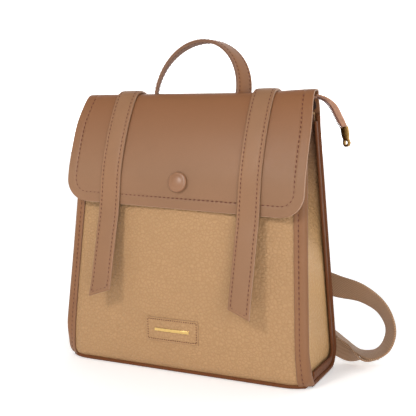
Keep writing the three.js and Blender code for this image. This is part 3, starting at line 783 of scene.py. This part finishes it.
def back_panel():
    def surface(u, v):
        z = mix(BACK_TOP, 3, v)
        bow = 1.6 * (1 - u**2) * math.sin(math.pi * smooth(z, 0, 240))
        return vec(-u * (half_width(z) - 4.6), back_y(z) + bow, z)

    piece = sheet("back_leather", surface, spans(48), shares(52), 0, PANEL, [TAN])
    finish_piece(piece, "bag", "tan_leather", "back_panel")


def base_panel():
    def surface(u, v):
        half = half_width(3) - 5
        y = mix(front_line(3) - 0.5 + corner_turn(u * half, 3), back_line(3) - 2, v)
        lift = 0.9 * (1 - u * u) * (1 - (2 * v - 1) ** 2)
        return vec(u * half, y, lift)

    piece = sheet("base_leather", surface, spans(40), shares(18), 3.6, 0, [DEEP_BROWN], 1.4)
    finish_piece(piece, "bag", "edge_leather", "base_panel")


def gussets():
    for side, word in SIDES:
        def surface(t, v):
            z = mix(mix(FRONT_TOP, 244, t), 5.6, v)
            fold = smooth(z, 105, 170) * (1 - smooth(z, 228, 246))
            arch = math.sin(math.pi * t)
            crease = 0.9 * math.sin(z / 7.5 + 9 * t) * arch**0.6 * fold
            crease += 0.8 * math.sin(z / 19 + 4 * t) * arch * smooth(z, 30, 90)
            return vec(side * (gusset_x(t, z) + crease - 0.4), gusset_y(t, z), z)

        name = f"gusset_leather_{word}"
        piece = sheet(name, surface, shares(34), shares(96), 0, side * PANEL, [GUSSET_TAN_LIT_AND_SHADED])
        finish_piece(piece, "bag", "tan_leather", f"gusset_{word}")


def trim_surface(side):
    """The trim wraps from the front panel round the corner on to the gusset, for u from 0 to 1."""
    flat = 0.7

    def surface(u, v):
        z = panel_z(min(max(v, 0), 1))
        outside = half_width(z) - SKIN
        front = side_line(z) + SKIN
        if u < flat:
            x = mix(half_width(z) - TRIM_WIDTH, outside - TRIM_CORNER, u / flat)
            return vec(side * x, front_y(x, z), z)
        angle = (u - flat) / (1 - flat) * math.pi / 2
        step = front_y(outside - TRIM_CORNER, z) - front
        x = outside - TRIM_CORNER * (1 - math.sin(angle))
        y = front + step * math.cos(angle) + TRIM_CORNER * (1 - math.cos(angle))
        return vec(side * x, y, z)

    return surface


def front_trims():
    for side, word in SIDES:
        surface = trim_surface(side)

        def relief(u, v, place):
            return 0.15 * math.sin(place[2] / 23) - 0.35 * ridge(u - TRIM_SEAM, 0.08)

        us = spread(0, 1, 15, (TRIM_SEAM,), 0.12, 7)
        low, high = -side * SKIN, -side * 0.1
        leathers = [TRIM_BROWN, BROWN_EDGE]
        piece = sheet(f"trim_{word}", surface, us, shares(70), low, high, leathers, 0.45, relief)
        finish_piece(piece, "bag", "brown_leather", f"front_trim_{word}")
        line, normals = trace(surface, [(TRIM_SEAM, v) for v in np.linspace(0, 0.97, 200)], -side)
        sew(f"trim_thread_{word}", [(line + normals * (SKIN - 0.35), normals)])


def rear_edge(inset, top, front):
    """The side view of the rear edge: down the back, round the lower corner and along the base."""
    radius = BACK_RADIUS - inset
    centre = back_inset(BACK_RADIUS, BACK_RADIUS)
    down, bend = top - BACK_RADIUS, radius * math.pi / 2
    total = down + bend + centre - front

    def place(t):
        travelled = t * total
        if travelled < down:
            z = top - travelled
            return vec(BASE_DEPTH / 2 - BACK_LEAN * z - inset, z)
        if travelled < down + bend:
            angle = (travelled - down) / radius
            return vec(centre + radius * math.cos(angle), BACK_RADIUS - radius * math.sin(angle))
        return vec(centre - (travelled - down - bend), inset)

    return place


def rear_bindings():
    for side, word in SIDES:
        edge = rear_edge(BINDING_RADIUS, 245, side_line(4) + 5)
        welt_edge = rear_edge(WELT_INSET, 238, side_line(WELT_INSET) + 8)

        def centre(t):
            y, z = edge(t)
            return vec(side * (half_width(z) - BINDING_RADIUS), y, z)

        piece = cord(f"binding_{word}", centre, BINDING_RADIUS, 110, 12, DEEP_BROWN)
        finish_piece(piece, "bag", "edge_leather", f"rear_binding_{word}")

        def surface(u, v):
            y, z = welt_edge(v)
            along = heading(welt_edge, v)
            shift = u * WELT_WIDTH / 2
            x = max(gusset_x(0.9, z), gusset_x(1, z)) + 0.7 * (1 - u * u) + 0.9 * (1 - u)
            return vec(side * x, y - along[1] * shift, z + along[0] * shift)

        name = f"welt_{word}"
        piece = sheet(name, surface, spans(7), shares(110), side * -1.4, side * 0.6, [DEEP_BROWN], 0.5)
        finish_piece(piece, "bag", "edge_leather", f"gusset_welt_{word}")


# ---------- flap ----------
FLAP = Route([
    (0, 21.5, 228), (0, 19.7, 244), (0, 16.8, 253), (0, 12, 259.6), (0, 6, 263.3), (0, 0.5, 264.4),
    (0, -3.6, 264.2), (0, -7, 263.3), (0, -10.6, 260.6), (0, -14, 256.4), (0, -20.4, 245.9),
    (0, -29.1, 228), (0, -35.1, 212.2), (0, -39.1, 199.5), (0, -42, 187.7), (0, -43.7, 175),
    (0, -44.8, 157), (0, -45, 146), (0, -45, 138),
])
FLAP_CROWN = FLAP.nearest((0, -3.6, 264.2))


def flap_half(s):
    """Half of the flap's width at distance s past the hinge line."""
    half = mix(FLAP_HALF_TOP, FLAP_HALF_LOW, smooth(s, 0, 45)) - 3 * smooth(-s, 4, 22)
    return half - tuck(FLAP_LENGTH - s, FLAP_CORNER)


def flap_point(x, s):
    """A point of the flap's outside: x across, s past the hinge line, less than 0 on the yoke."""
    skewed = s * (1 + FLAP_SKEW * x / FLAP_LENGTH) if s > 0 else s
    place = FLAP.at(FLAP_CROWN + skewed)
    lift = CROWN_RISE * smooth(x, 55, 120) * math.exp(-((s / 26) ** 2))
    return vec(x, place[1], place[2] + lift)


def flap_surface(margin):
    def surface(u, s):
        return flap_point(u * (flap_half(min(s, FLAP_LENGTH)) - margin), min(s, FLAP_LENGTH - margin))

    return surface


def flap():
    def relief(u, s, place):
        """Soft waves, and a dip under the seam that runs a set distance inside the edge."""
        half = flap_half(s)
        to_end = FLAP_LENGTH - s
        inside = min(half - abs(u) * half, to_end)
        corner_x = FLAP_CORNER - (FLAP_HALF_LOW - abs(u) * half)
        corner_s = FLAP_CORNER - to_end
        if corner_x > 0 and corner_s > 0:
            inside = FLAP_CORNER - math.hypot(corner_x, corner_s)
        wave = 0.45 * math.sin(place[0] / 37 + 0.8) * math.sin(s / 26) * smooth(s, 15, 60)
        return wave - (0.45 * ridge(inside - FLAP_SEAM, 1.1) if s > 0 else 0)

    near = FLAP_SEAM / FLAP_HALF_LOW
    us = spread(-1, 1, 70, (near - 1, 1 - near), 2.6 / FLAP_HALF_LOW, 7)
    rows = list(np.linspace(-FLAP_CROWN, 0, 22, endpoint=False))
    rows += spread(0, FLAP_LENGTH, 76, (FLAP_LENGTH - FLAP_SEAM,), 2.6, 8)
    leathers = [FLAP_BROWN, PALE_EDGE]
    outer = sheet("flap_leather", flap_surface(0), us, rows, 0, FLAP_LEATHER, leathers, 0.45, relief)
    finish_piece(outer, OVER_CROWN, "brown_leather", "flap_outer", "flap_yoke")
    rows = np.linspace(0, FLAP_LENGTH - 1, 40)
    low, high = FLAP_LEATHER + 0.1, FLAP_LEATHER + 1.0
    inner = sheet("flap_lining_cloth", flap_surface(1), spans(30), rows, low, high, [LINING], 0.25)
    finish_piece(inner, OVER_CROWN, "lining_fabric", "flap_lining")
    flap_stitches()


def flap_stitches():
    side = FLAP_HALF_LOW - FLAP_SEAM
    radius = FLAP_CORNER - FLAP_SEAM
    low = FLAP_LENGTH - FLAP_SEAM
    half = [(flap_half(s) - FLAP_SEAM, s) for s in np.linspace(8, low - radius, 60)]
    for angle in np.linspace(0, math.pi / 2, 14)[1:]:
        half.append((side - radius + radius * math.cos(angle), low - radius + radius * math.sin(angle)))
    path = [(-x, s) for x, s in half]
    path += [(x, low) for x in np.linspace(radius - side, side - radius, 110)[1:]]
    path += half[-2::-1]
    line, normals = trace(flap_point, path, -1)
    sew("flap_thread", [(line - normals * 0.35, normals)], OVER_CROWN)


# ---------- decorative straps ----------
def strap_over_flap(side, s):
    """The strap's middle line over the crown and flap, at s past the hinge line."""
    ahead = flap_point(side * STRAP_X, s + 1) - flap_point(side * STRAP_X, s - 1)
    outward = unit(np.cross(ahead, (1, 0, 0)))
    return flap_point(side * STRAP_X, s) + outward * (STRAP_THICKNESS / 2 + 0.25)


def strap_route(side):
    """The strap's whole middle line, from the back, over the flap and down to its hanging tip."""
    tip = 65 if side > 0 else 71.5
    upper = [strap_over_flap(side, s) for s in np.linspace(3 - FLAP_CROWN, 92, 46)]
    hanging = [(-50.4, 150), (-55.3, 130), (-60.5, 108), (-66.4, 84), (-70.6, tip)]
    lower = [vec(side * STRAP_X, y + STRAP_THICKNESS / 2, z + 0.22) for y, z in hanging]
    return Route(upper + lower)


def straps():
    for side, word in SIDES:
        route = strap_route(side)
        cut = route.nearest((side * STRAP_X, -38, 208))
        tail = ("flap", f"strap_{word}", (0, -0.0475, 0.174), (0, -0.049, 0.160))

        def section(t):
            return strip_section(STRAP_WIDTH, STRAP_THICKNESS, 0.35, STRAP_SEAM)

        def across(t):
            return vec(1.0, 0, 0)

        def slant(t, x):
            inward = 0.5 - side * x / STRAP_WIDTH
            return -STRAP_SLANT * inward * smooth(t, 0.6, 1)

        pieces = [
            ("upper", 0, cut, None, 0.0, OVER_CROWN, ("rear",)),
            ("lower", cut, route.length, slant, 0.012, tail, ("front", "tail")),
        ]
        for part, start, end, tip, soft, motion, nodes in pieces:
            def centre(t):
                return route.at(mix(start, end, t))

            name = f"strap_{word}_{part}"
            steps = int((end - start) / 1.9)
            piece = ribbon(name, centre, across, section, steps, [STRAP_BROWN, PALE_EDGE], -1, tip, soft)
            finish_piece(piece, motion, "brown_leather", *[f"strap_{word}_{node}" for node in nodes])
            strap_stitches(name, centre, tip, motion)


def strap_stitches(name, centre, tip, motion):
    """A seam along each long edge, and one across the end where the strap has a tip."""
    inset = STRAP_WIDTH / 2 - STRAP_SEAM
    seams = []
    for x in (-inset, inset):
        line, normals = [], []
        for t in shares(150):
            along = heading(centre, t)
            outward = unit(np.cross(along, (1, 0, 0)))
            shift = (tip(t, x) - 3.2 * smooth(t, 0.6, 1)) if tip else 0
            place = centre(t) + vec(x, 0, 0) + along * shift
            line.append(place + outward * (STRAP_THICKNESS / 2 - 0.1))
            normals.append(outward)
        seams.append((np.array(line), np.array(normals)))
    if tip:
        (left, normals), (right, _) = seams
        line = np.linspace(left[-1], right[-1], 20)
        seams.append((line, np.repeat(normals[-1:], 20, axis=0)))
    sew(name + "_thread", seams, motion, pitch=4.0, length=2.4, radius=0.46)


# ---------- handle ----------
def handle():
    motion = ("bag", "handle", (0, 0.0075, 0.263), (0, 0.0075, 0.277))

    def centre_at(offset):
        def centre(t):
            angle = math.pi * mix(-0.012, 1.012, t)
            outward = unit(vec(-math.cos(angle), 0, math.sin(angle)))
            rise = HANDLE_FOOT + (HANDLE_APEX - HANDLE_FOOT) * math.sin(angle)
            return rise + vec(-HANDLE_HALF_SPAN * math.cos(angle), 0, 0) + outward * offset

        return centre

    def across(t):
        twist = HANDLE_TWIST * math.cos(math.pi * t)
        return vec(-math.sin(twist), math.cos(twist), 0)

    def outer_section(t):
        return strip_section(HANDLE_WIDTH, 1.7, 0.3, HANDLE_SEAM)

    def inner_section(t):
        return strip_section(HANDLE_WIDTH - 0.4, 1.3)

    leathers = [HANDLE_BROWN, BROWN_EDGE]
    outer = ribbon("handle_leather", centre_at(0.85), across, outer_section, 96, leathers, -1)
    finish_piece(outer, motion, "brown_leather", "handle_outer")
    inner = ribbon("handle_backing", centre_at(-0.7), across, inner_section, 96, [RAW_LEATHER], -1)
    finish_piece(inner, motion, "brown_leather", "handle_inner")
    seams = []
    centre = centre_at(0)
    inset = HANDLE_WIDTH / 2 - HANDLE_SEAM
    for face, offset in ((1, 1.72), (-1, -1.4)):
        for x in (-inset, inset):
            line, normals = [], []
            for t in np.linspace(0.01, 0.99, 160):
                along = heading(centre, t)
                side = squared(across(t), along)
                outward = np.cross(along, side)
                line.append(centre(t) + side * x + outward * offset)
                normals.append(outward * face)
            seams.append((np.array(line), np.array(normals)))
    sew("handle_thread", seams, motion, pitch=3.9, length=2.3, radius=0.42)


# ---------- button and label ----------
def button():
    """A covered button: a domed leather cap with a pinched rim, on a narrow collar."""
    low, high = (Vector(corner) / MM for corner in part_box("button_cap"))
    middle = np.array((low + high) / 2)
    slope = flap_point(0, 83) - flap_point(0, 81)
    outward = unit(np.cross(slope, (1, 0, 0)))
    up = np.cross(outward, (1, 0, 0))
    seat = middle - outward * 2.3
    outline = [
        (8.6, -0.4), (9.3, 0.3), (9.6, 1.2), (9.5, 2.1), (9.0, 2.9),
        (8.2, 3.35), (7.6, 3.3), (6.6, 3.75), (4.6, 4.3), (2.3, 4.6),
    ]
    count = 56
    points = []
    for radius, height in outline:
        for angle in turns(count):
            gather = 0.05 * math.sin(angle * 14) if height < 2 else 0
            spoke = vec(1, 0, 0) * math.cos(angle) + up * math.sin(angle)
            points.append(seat + spoke * (radius + gather) + outward * height)
    points += [seat + outward * 4.7, seat - outward * 0.4]
    faces = tube_faces(len(outline), count, capped=False)
    top = (len(outline) - 1) * count
    for k in range(count):
        faces.append((top + k, top + (k + 1) % count, len(points) - 2))
        faces.append(((k + 1) % count, k, len(points) - 1))
    piece = mesh_object("button_leather", points, faces, [BUTTON_BROWN])
    finish_piece(piece, "flap", "brown_leather", "button_cap")


def label():
    width, height = LABEL_SIZE

    def patch(u, v):
        x = LABEL_PLACE[0] + (u - 0.5) * width
        z = LABEL_PLACE[1] + (0.5 - v) * height
        return vec(x, front_y(x, z), z)

    def relief(u, v, place):
        gap = min(u * width, (1 - u) * width, v * height, (1 - v) * height)
        return -0.25 * ridge(gap - LABEL_SEAM, 0.7)

    du, dv = LABEL_SEAM / width, LABEL_SEAM / height
    us = spread(0, 1, 40, (du, 1 - du), 2 / width, 6)
    vs = spread(0, 1, 18, (dv, 1 - dv), 2 / height, 6)
    piece = sheet("label_leather", patch, us, vs, -1.1, -0.1, [TAN, TAN_EDGE], 0.3, relief)
    finish_piece(piece, "bag", "tan_leather", "label_patch")
    seams = border_seams(patch, (du, 1 - du), (dv, 1 - dv), 24, -1, 1.0)
    sew("label_thread", seams, "bag", "tan_leather", 2.3, 1.7, 0.38)
    finish_piece(softened("label_bar", GOLD, 0.25), "bag", "gold_metal", "label_bar")


# ---------- zip ----------
def zip_half_gap(x):
    return mix(10, 1, smooth(x, 39, 79))


def zip_height(x):
    return mix(ZIP_Z, 259.8, smooth(x, 95, 119.6))


def zip_rows():
    for side, word in ((-1, "front"), (1, "back")):
        def surface(u, v):
            x = mix(-84, 119.6, v)
            inner = zip_half_gap(x) + 1.0
            outer = mix(14.4, 4.5, smooth(x, 84, 108))
            sag = 0.5 * math.sin(x / 17) * (1 - u) * smooth(84 - x, 0, 40)
            return vec(x, side * mix(inner, outer, u), zip_height(x) + sag)

        piece = sheet(f"zip_tape_cloth_{word}", surface, shares(6), shares(70), -0.4, 0.4, [TAPE], 0.2)
        finish_piece(piece, "bag", "zip_tape", f"zip_tape_{word}")
        axes = np.array([(0, side, 0), (0, 0, 1), (1, 0, 0)])
        points, faces = [], []
        for x in np.arange(-84, 119, COIL_PITCH):
            hub = vec(x, side * (zip_half_gap(x) + 0.5), zip_height(x))
            coil_loop(points, faces, hub, axes, 1.15, 0.9, 0.25)
        coil = mesh_object(f"zip_teeth_{word}", points, faces, [COIL])
        finish_piece(coil, "bag", "zip_coil", f"zip_coil_{word}")


def coil_loop(points, faces, hub, axes, reach, rise, lean=0.0):
    """Adds one nylon loop round the hub, where axes point across, up and along the row."""
    across, up, along = axes
    first = len(points)
    for angle in turns(COIL_SIDES):
        turned, raised = math.cos(angle), math.sin(angle)
        middle = hub + across * reach * turned + (up * rise + along * lean) * raised
        spoke = across * turned + up * raised
        for turn in turns(WIRE_SIDES):
            points.append(middle + COIL_WIRE * (spoke * math.cos(turn) + along * math.sin(turn)))
    for k in range(COIL_SIDES):
        for m in range(WIRE_SIDES):
            a, b = first + k * WIRE_SIDES, first + (k + 1) % COIL_SIDES * WIRE_SIDES
            n = (m + 1) % WIRE_SIDES
            faces.append((a + m, a + n, b + n, b + m))


TAIL = Route([
    (119.2, 1, 260.2), (120.3, 1, 260), (126.2, 1, 257.6), (132, 1, 252), (136.1, 1, 245.2),
    (139.4, 1, 238.8), (143.9, 1, 232),
])


def zip_tail():
    motion = ("bag", "zip_tail", (0.1195, 0.001, 0.2603), (0.1275, 0.001, 0.2566))

    def across(t):
        """Level where the tail leaves the bag, then turned so that its face shows in front."""
        inward = unit(np.cross(TAIL.tangent(t * TAIL.length), (0, 1, 0)))
        turn = math.radians(mix(24, 60, smooth(t, 0, 0.5)))
        return inward * math.sin(turn) + vec(0, -math.cos(turn), 0)

    def section(t):
        shape = strip_section(mix(5.2, 8.6, smooth(t, 0.15, 0.6)) - 2.4 * smooth(t, 0.8, 1), 0.9)
        return [(x + 1.6, height) for x, height in shape]

    tape = ribbon("zip_tail_cloth", TAIL.centre, across, section, 40, [TAPE], -1)
    finish_piece(tape, motion, "zip_tape", "zip_tail_tape")
    points, faces = [], []
    count = int(TAIL.length / COIL_PITCH)
    for n in range(count):
        along = TAIL.tangent((n + 0.5) * COIL_PITCH)
        side = squared(across(n / count), along)
        outward = np.cross(along, side)
        hub = TAIL.at((n + 0.5) * COIL_PITCH) + outward * 0.9 - side * 1.4
        coil_loop(points, faces, hub, (side, outward, along), 1.5, 0.75)
    coil = mesh_object("zip_tail_teeth", points, faces, [COIL])
    finish_piece(coil, motion, "zip_coil", "zip_tail_coil")
    finish_piece(softened("zip_tail_clip", SHADED_GOLD, 0.3), "zip_tail", "gold_metal", "zip_tail_clip")


def zip_facings():
    def front(u, v):
        x = u * mix(107, 82, v)
        bow = 1.2 * math.sin(math.pi * v)
        return vec(x, mix(-22.4, -14.8, v) - bow, mix(FRONT_TOP + 0.8, 245.2, v))

    piece = sheet("zip_facing_cloth", front, spans(30), shares(8), 0, 0.8, [LINING], 0.2)
    finish_piece(piece, "bag", "lining_fabric", "zip_facing")
    for side, word in SIDES:
        def end(u, v):
            z = mix(259, 238, v)
            x = 115 + 2.2 * math.sin(math.pi * min(v * 1.5, 1)) - 12 * smooth(v, 0.35, 1) - 1.5 * u * u
            return vec(side * x, u * mix(5, 9, smooth(v, 0, 0.5)) + 3 * v, z)

        piece = sheet(f"zip_end_{word}", end, spans(10), shares(14), 0, side * 1.2, [DARK_BROWN], 0.4)
        finish_piece(piece, "bag", "edge_leather")


# ---------- lining and pocket ----------
def inner_ring(z, inset):
    """The outline of the lining at height z."""
    walls = []
    back = back_y(z) - inset - PANEL - 2.6
    gap = inset + PANEL + 1.2
    for t in np.linspace(0.06, 0.94, 13):
        rise = gusset_x(t + 0.01, z) - gusset_x(t - 0.01, z)
        run = gusset_y(t + 0.01, z) - gusset_y(t - 0.01, z)
        wall = gusset_x(t, z) - gap * math.hypot(1, rise / run)
        walls.append((wall, min(gusset_y(t, z), back - 0.3)))
    half = gusset_x(0.06, z) - gap
    front = inset + PANEL + 0.6
    outline = [(x, front_y(x, z) + front) for x in np.linspace(1 - half, half - 1, 20)]
    outline += walls
    outline += [(x, back) for x in np.linspace(half - 3, 3 - half, 18)]
    outline += [(-x, y) for x, y in walls[::-1]]
    return [vec(x, y, z) for x, y in outline]


def lining():
    levels = [9.5, 12, 16, 24, 36] + list(np.linspace(50, 222, 30))
    outer = [inner_ring(z, 0) for z in levels]
    inner = [inner_ring(z, 0.7) for z in levels[::-1]]
    for point in [p for ring in inner for p in ring]:
        point[2] = max(point[2], 10.3)
    rings = outer + inner
    points = [p for ring in rings for p in ring]
    faces = tube_faces(len(rings), len(outer[0]))
    strip = [(p[0] + p[1], p[2]) for p in points]
    piece = mesh_object("lining_cloth", points, faces, [LINING], strip=strip)
    piece.data.set_sharp_from_angle(angle=SHARP)
    finish_piece(piece, "bag", "lining_fabric", "lining")

    def pocket(u, v):
        x = u * 60
        z = mix(165, 60, v)
        wall = back_y(z) - PANEL - 3.7
        bow = 12 * (1 - u * u) * smooth(z, 60, 95) + 0.5 * math.sin(z / 9) * (1 - u * u)
        return vec(x, wall - 0.4 - bow, z)

    piece = sheet("pocket_cloth", pocket, spans(30), shares(30), -0.8, 0, [LINING], 0.2)
    finish_piece(piece, "bag", "lining_fabric", "slip_pocket")


# ---------- shoulder straps ----------
# x, y, z and the turn of the webbing's width in degrees, from 0 upright to 90 level.
WEBBING_ROWS = [
    (31, 31, 207, 20), (37, 38, 186, 20), (48, 46, 154, 19), (66, 53, 117, 17), (91, 57, 87, 14),
    (121, 58, 76.4, 15), (149, 58, 70.8, 33), (169, 58, 58, 46), (178, 58, 39, 56), (174.5, 58, 22, 64),
    (163, 58, 11.5, 80), (147, 58, 12, 99), (132, 57, 22, 102), (116, 53, 36, 103),
]



SPARE_ROWS = [
    (168, 54, 9.6), (159, 51, 7.6), (149, 50, 8.4), (140, 50, 10.8), (132, 50, 14.6), (124, 49, 18.6),
    (117.5, 49, 21),
]


def mirrored(rows, side):
    """A route through the first three values of each row, on one side of the bag."""
    return Route([(side * row[0], row[1], row[2]) for row in rows])


def webbing_across(route, side, t):
    """The direction of the webbing's width."""
    knots = [route.nearest((side * x, y, z)) for x, y, z, _ in WEBBING_ROWS]
    turn = math.radians(np.interp(t * route.length, knots, [row[3] for row in WEBBING_ROWS]))
    outward = unit(np.cross(route.tangent(t * route.length), (0, side, 0)))
    return unit(outward * math.cos(turn) + vec(0, -math.sin(turn), 0))


def webbing_section(width):
    """A woven strap's outline, with thick selvedges."""
    half = width / 2
    top = []
    for x in np.linspace(0.5 - half, half - 0.5, 15):
        top.append((x, WEBBING_THICKNESS / 2 + 0.2 * smooth(abs(x), half - 2, half - 0.8)))
    bottom = [(x, -h) for x, h in top[::-1]]
    return top + [(half, 0.4), (half, -0.4)] + bottom + [(-half, -0.4), (-half, 0.4)]


def shoulder_straps():
    for side, word in SIDES:
        body = f"webbing_{word}"
        route = mirrored(WEBBING_ROWS, side)
        spare = mirrored(SPARE_ROWS, side)

        def across(t):
            return webbing_across(route, side, t)

        def section(t):
            return webbing_section(mix(12, WEBBING_WIDTH, smooth(t, 0, 0.07) * smooth(1 - t, 0, 0.06)))

        piece = ribbon(f"{body}_weave", route.centre, across, section, 240, [WEBBING])
        finish_piece(piece, body, "webbing_fabric", body)

        def spare_across(t):
            turn = math.radians(mix(88, 22, smooth(t, 0.16, 0.66)))
            return vec(0, -math.sin(turn), math.cos(turn))

        def spare_section(t):
            return webbing_section(mix(9, 22, smooth(t, 0, 0.45)) * mix(1, 0.55, smooth(t, 0.85, 1)))

        piece = ribbon(f"{body}_spare", spare.centre, spare_across, spare_section, 60, [WEBBING])
        finish_piece(piece, body, "webbing_fabric")
        finish_piece(softened(f"adjuster_{word}", GOLD, 0.35), body, "gold_metal", f"adjuster_{word}")


def back_leathers():
    leathers = [BROWN, BROWN_EDGE]

    def patch(u, v):
        z = mix(226, 203, v)
        return vec(-u * mix(48, 40, v), back_y(z), z)

    piece = sheet("anchor_leather", patch, spans(30), shares(12), -2.4, -0.2, leathers, 0.5)
    finish_piece(piece, "bag", "brown_leather", "anchor_patch")
    seams = border_seams(patch, (-0.93, 0.93), (0.12, 0.88), 30, -1, 2.3)
    for side, word in SIDES:
        def tab(u, v):
            z = mix(54, 20, v)
            return vec(side * mix(98, 122 - 0.5 * abs(z - 37), u), back_y(z), z)

        name = f"tab_leather_{word}"
        piece = sheet(name, tab, shares(12), shares(16), side * 2.4, side * 0.2, leathers, 0.5)
        finish_piece(piece, "bag", "brown_leather", f"lower_tab_{word}")
        seams += border_seams(tab, (0.12, 0.88), (0.1, 0.9), 24, side, 2.3)
    sew("back_thread", seams)


# ---------- fittings kept from the CAD ----------
def fittings():
    for node in ("zip_slider", "zip_puller"):
        finish_piece(softened(node, GOLD, 0.2), node, "gold_metal", node)
    plain = {"snap_socket": GOLD, "snap_stud": GOLD, "base_board": BOARD, "back_board": BOARD}
    for node, material in plain.items():
        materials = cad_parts[node].data.materials
        materials.clear()
        materials.append(material)


# ---------- camera, floor and light ----------
def camera():
    data = bpy.data.cameras.new("camera")
    data.lens = CAMERA_LENS
    data.sensor_width = 36
    data.clip_end = 20
    view = bpy.data.objects.new("camera", data)
    right = Vector(CAMERA_RIGHT).normalized()
    back = Vector(CAMERA_BACK).normalized()
    up = back.cross(right).normalized()
    turn = Matrix((right, up, back)).transposed().to_4x4()
    view.matrix_world = Matrix.Translation(CAMERA_PLACE) @ turn
    bpy.context.scene.collection.objects.link(view)
    bpy.context.scene.camera = view


def area_light(name, place, target, size, power, tint=(1, 1, 1)):
    data = bpy.data.lights.new(name, "AREA")
    data.shape = "RECTANGLE"
    data.size, data.size_y = size
    data.energy = power
    data.color = tint
    light = bpy.data.objects.new(name, data)
    light.location = place
    light.rotation_euler = (Vector(target) - Vector(place)).to_track_quat("-Z", "Y").to_euler()
    bpy.context.scene.collection.objects.link(light)


def pale(name, strength):
    """A matt white that gives off a little light of its own."""
    shader = Shader(name, 0.9, specular=0.0)
    shader.paint("Base Color", (0.95, 0.95, 0.95, 1))
    shader.paint("Emission Color", (1, 1, 1, 1))
    shader.paint("Emission Strength", strength)
    return shader


def light_sky(tree):
    """Soft light all round, brightest near the horizon."""
    coordinates = tree.nodes.new("ShaderNodeTexCoord")
    split = tree.nodes.new("ShaderNodeSeparateXYZ")
    height = tree.nodes.new("ShaderNodeMapRange")
    height.inputs["From Min"].default_value = 0.0
    height.inputs["From Max"].default_value = 0.9
    height.inputs["To Min"].default_value = 0.85
    height.inputs["To Max"].default_value = 0.25
    tree.links.new(coordinates.outputs["Generated"], split.inputs["Vector"])
    tree.links.new(split.outputs["Z"], height.inputs["Value"])
    background = tree.nodes["Background"]
    background.inputs["Color"].default_value = (1, 1, 1, 1)
    tree.links.new(height.outputs["Result"], background.inputs["Strength"])


def studio():
    shader = pale("floor_pale", 0.3)
    tone = shader.ramp(shader.noise(3.0), 0.0, 1.0)
    shader.paint("Base Color", shader.blend_colours(tone, (0.93, 0.93, 0.93, 1), (0.95, 0.95, 0.95, 1)))
    size = FLOOR_HALF
    square = ((-size, -size), (size, -size), (size, size), (-size, size))
    corners = [vec(x, y, FLOOR_Z) for x, y in square]
    floor = mesh_object("floor", corners, [(0, 1, 2, 3)], [shader.material])
    upright = ((-size, FLOOR_Z), (size, FLOOR_Z), (size, WALL_TOP), (-size, WALL_TOP))
    corners = [vec(x, WALL_Y, z) for x, z in upright]
    backdrop = mesh_object("backdrop", corners, [(0, 1, 2, 3)], [pale("backdrop_white", 0.9).material])
    world = bpy.context.scene.world or bpy.data.worlds.new("world")
    bpy.context.scene.world = world
    world.use_nodes = True
    light_sky(world.node_tree)
    area_light("key", (-0.28, -1.35, 0.95), (0, 0, 0.12), (0.3, 0.3), 10)
    area_light("front", (0.95, -1.35, 0.45), (0, 0, 0.12), (1.0, 1.0), 12)
    area_light("top", (0.1, 0.2, 1.6), (0, 0, 0.1), (1.6, 1.6), 2)
    bpy.context.scene.view_settings.view_transform = "Standard"


camera()
studio()
front_panel()
back_panel()
base_panel()
gussets()
front_trims()
rear_bindings()
flap()
straps()
handle()
button()
label()
zip_rows()
zip_tail()
zip_facings()
lining()
shoulder_straps()
back_leathers()
fittings()
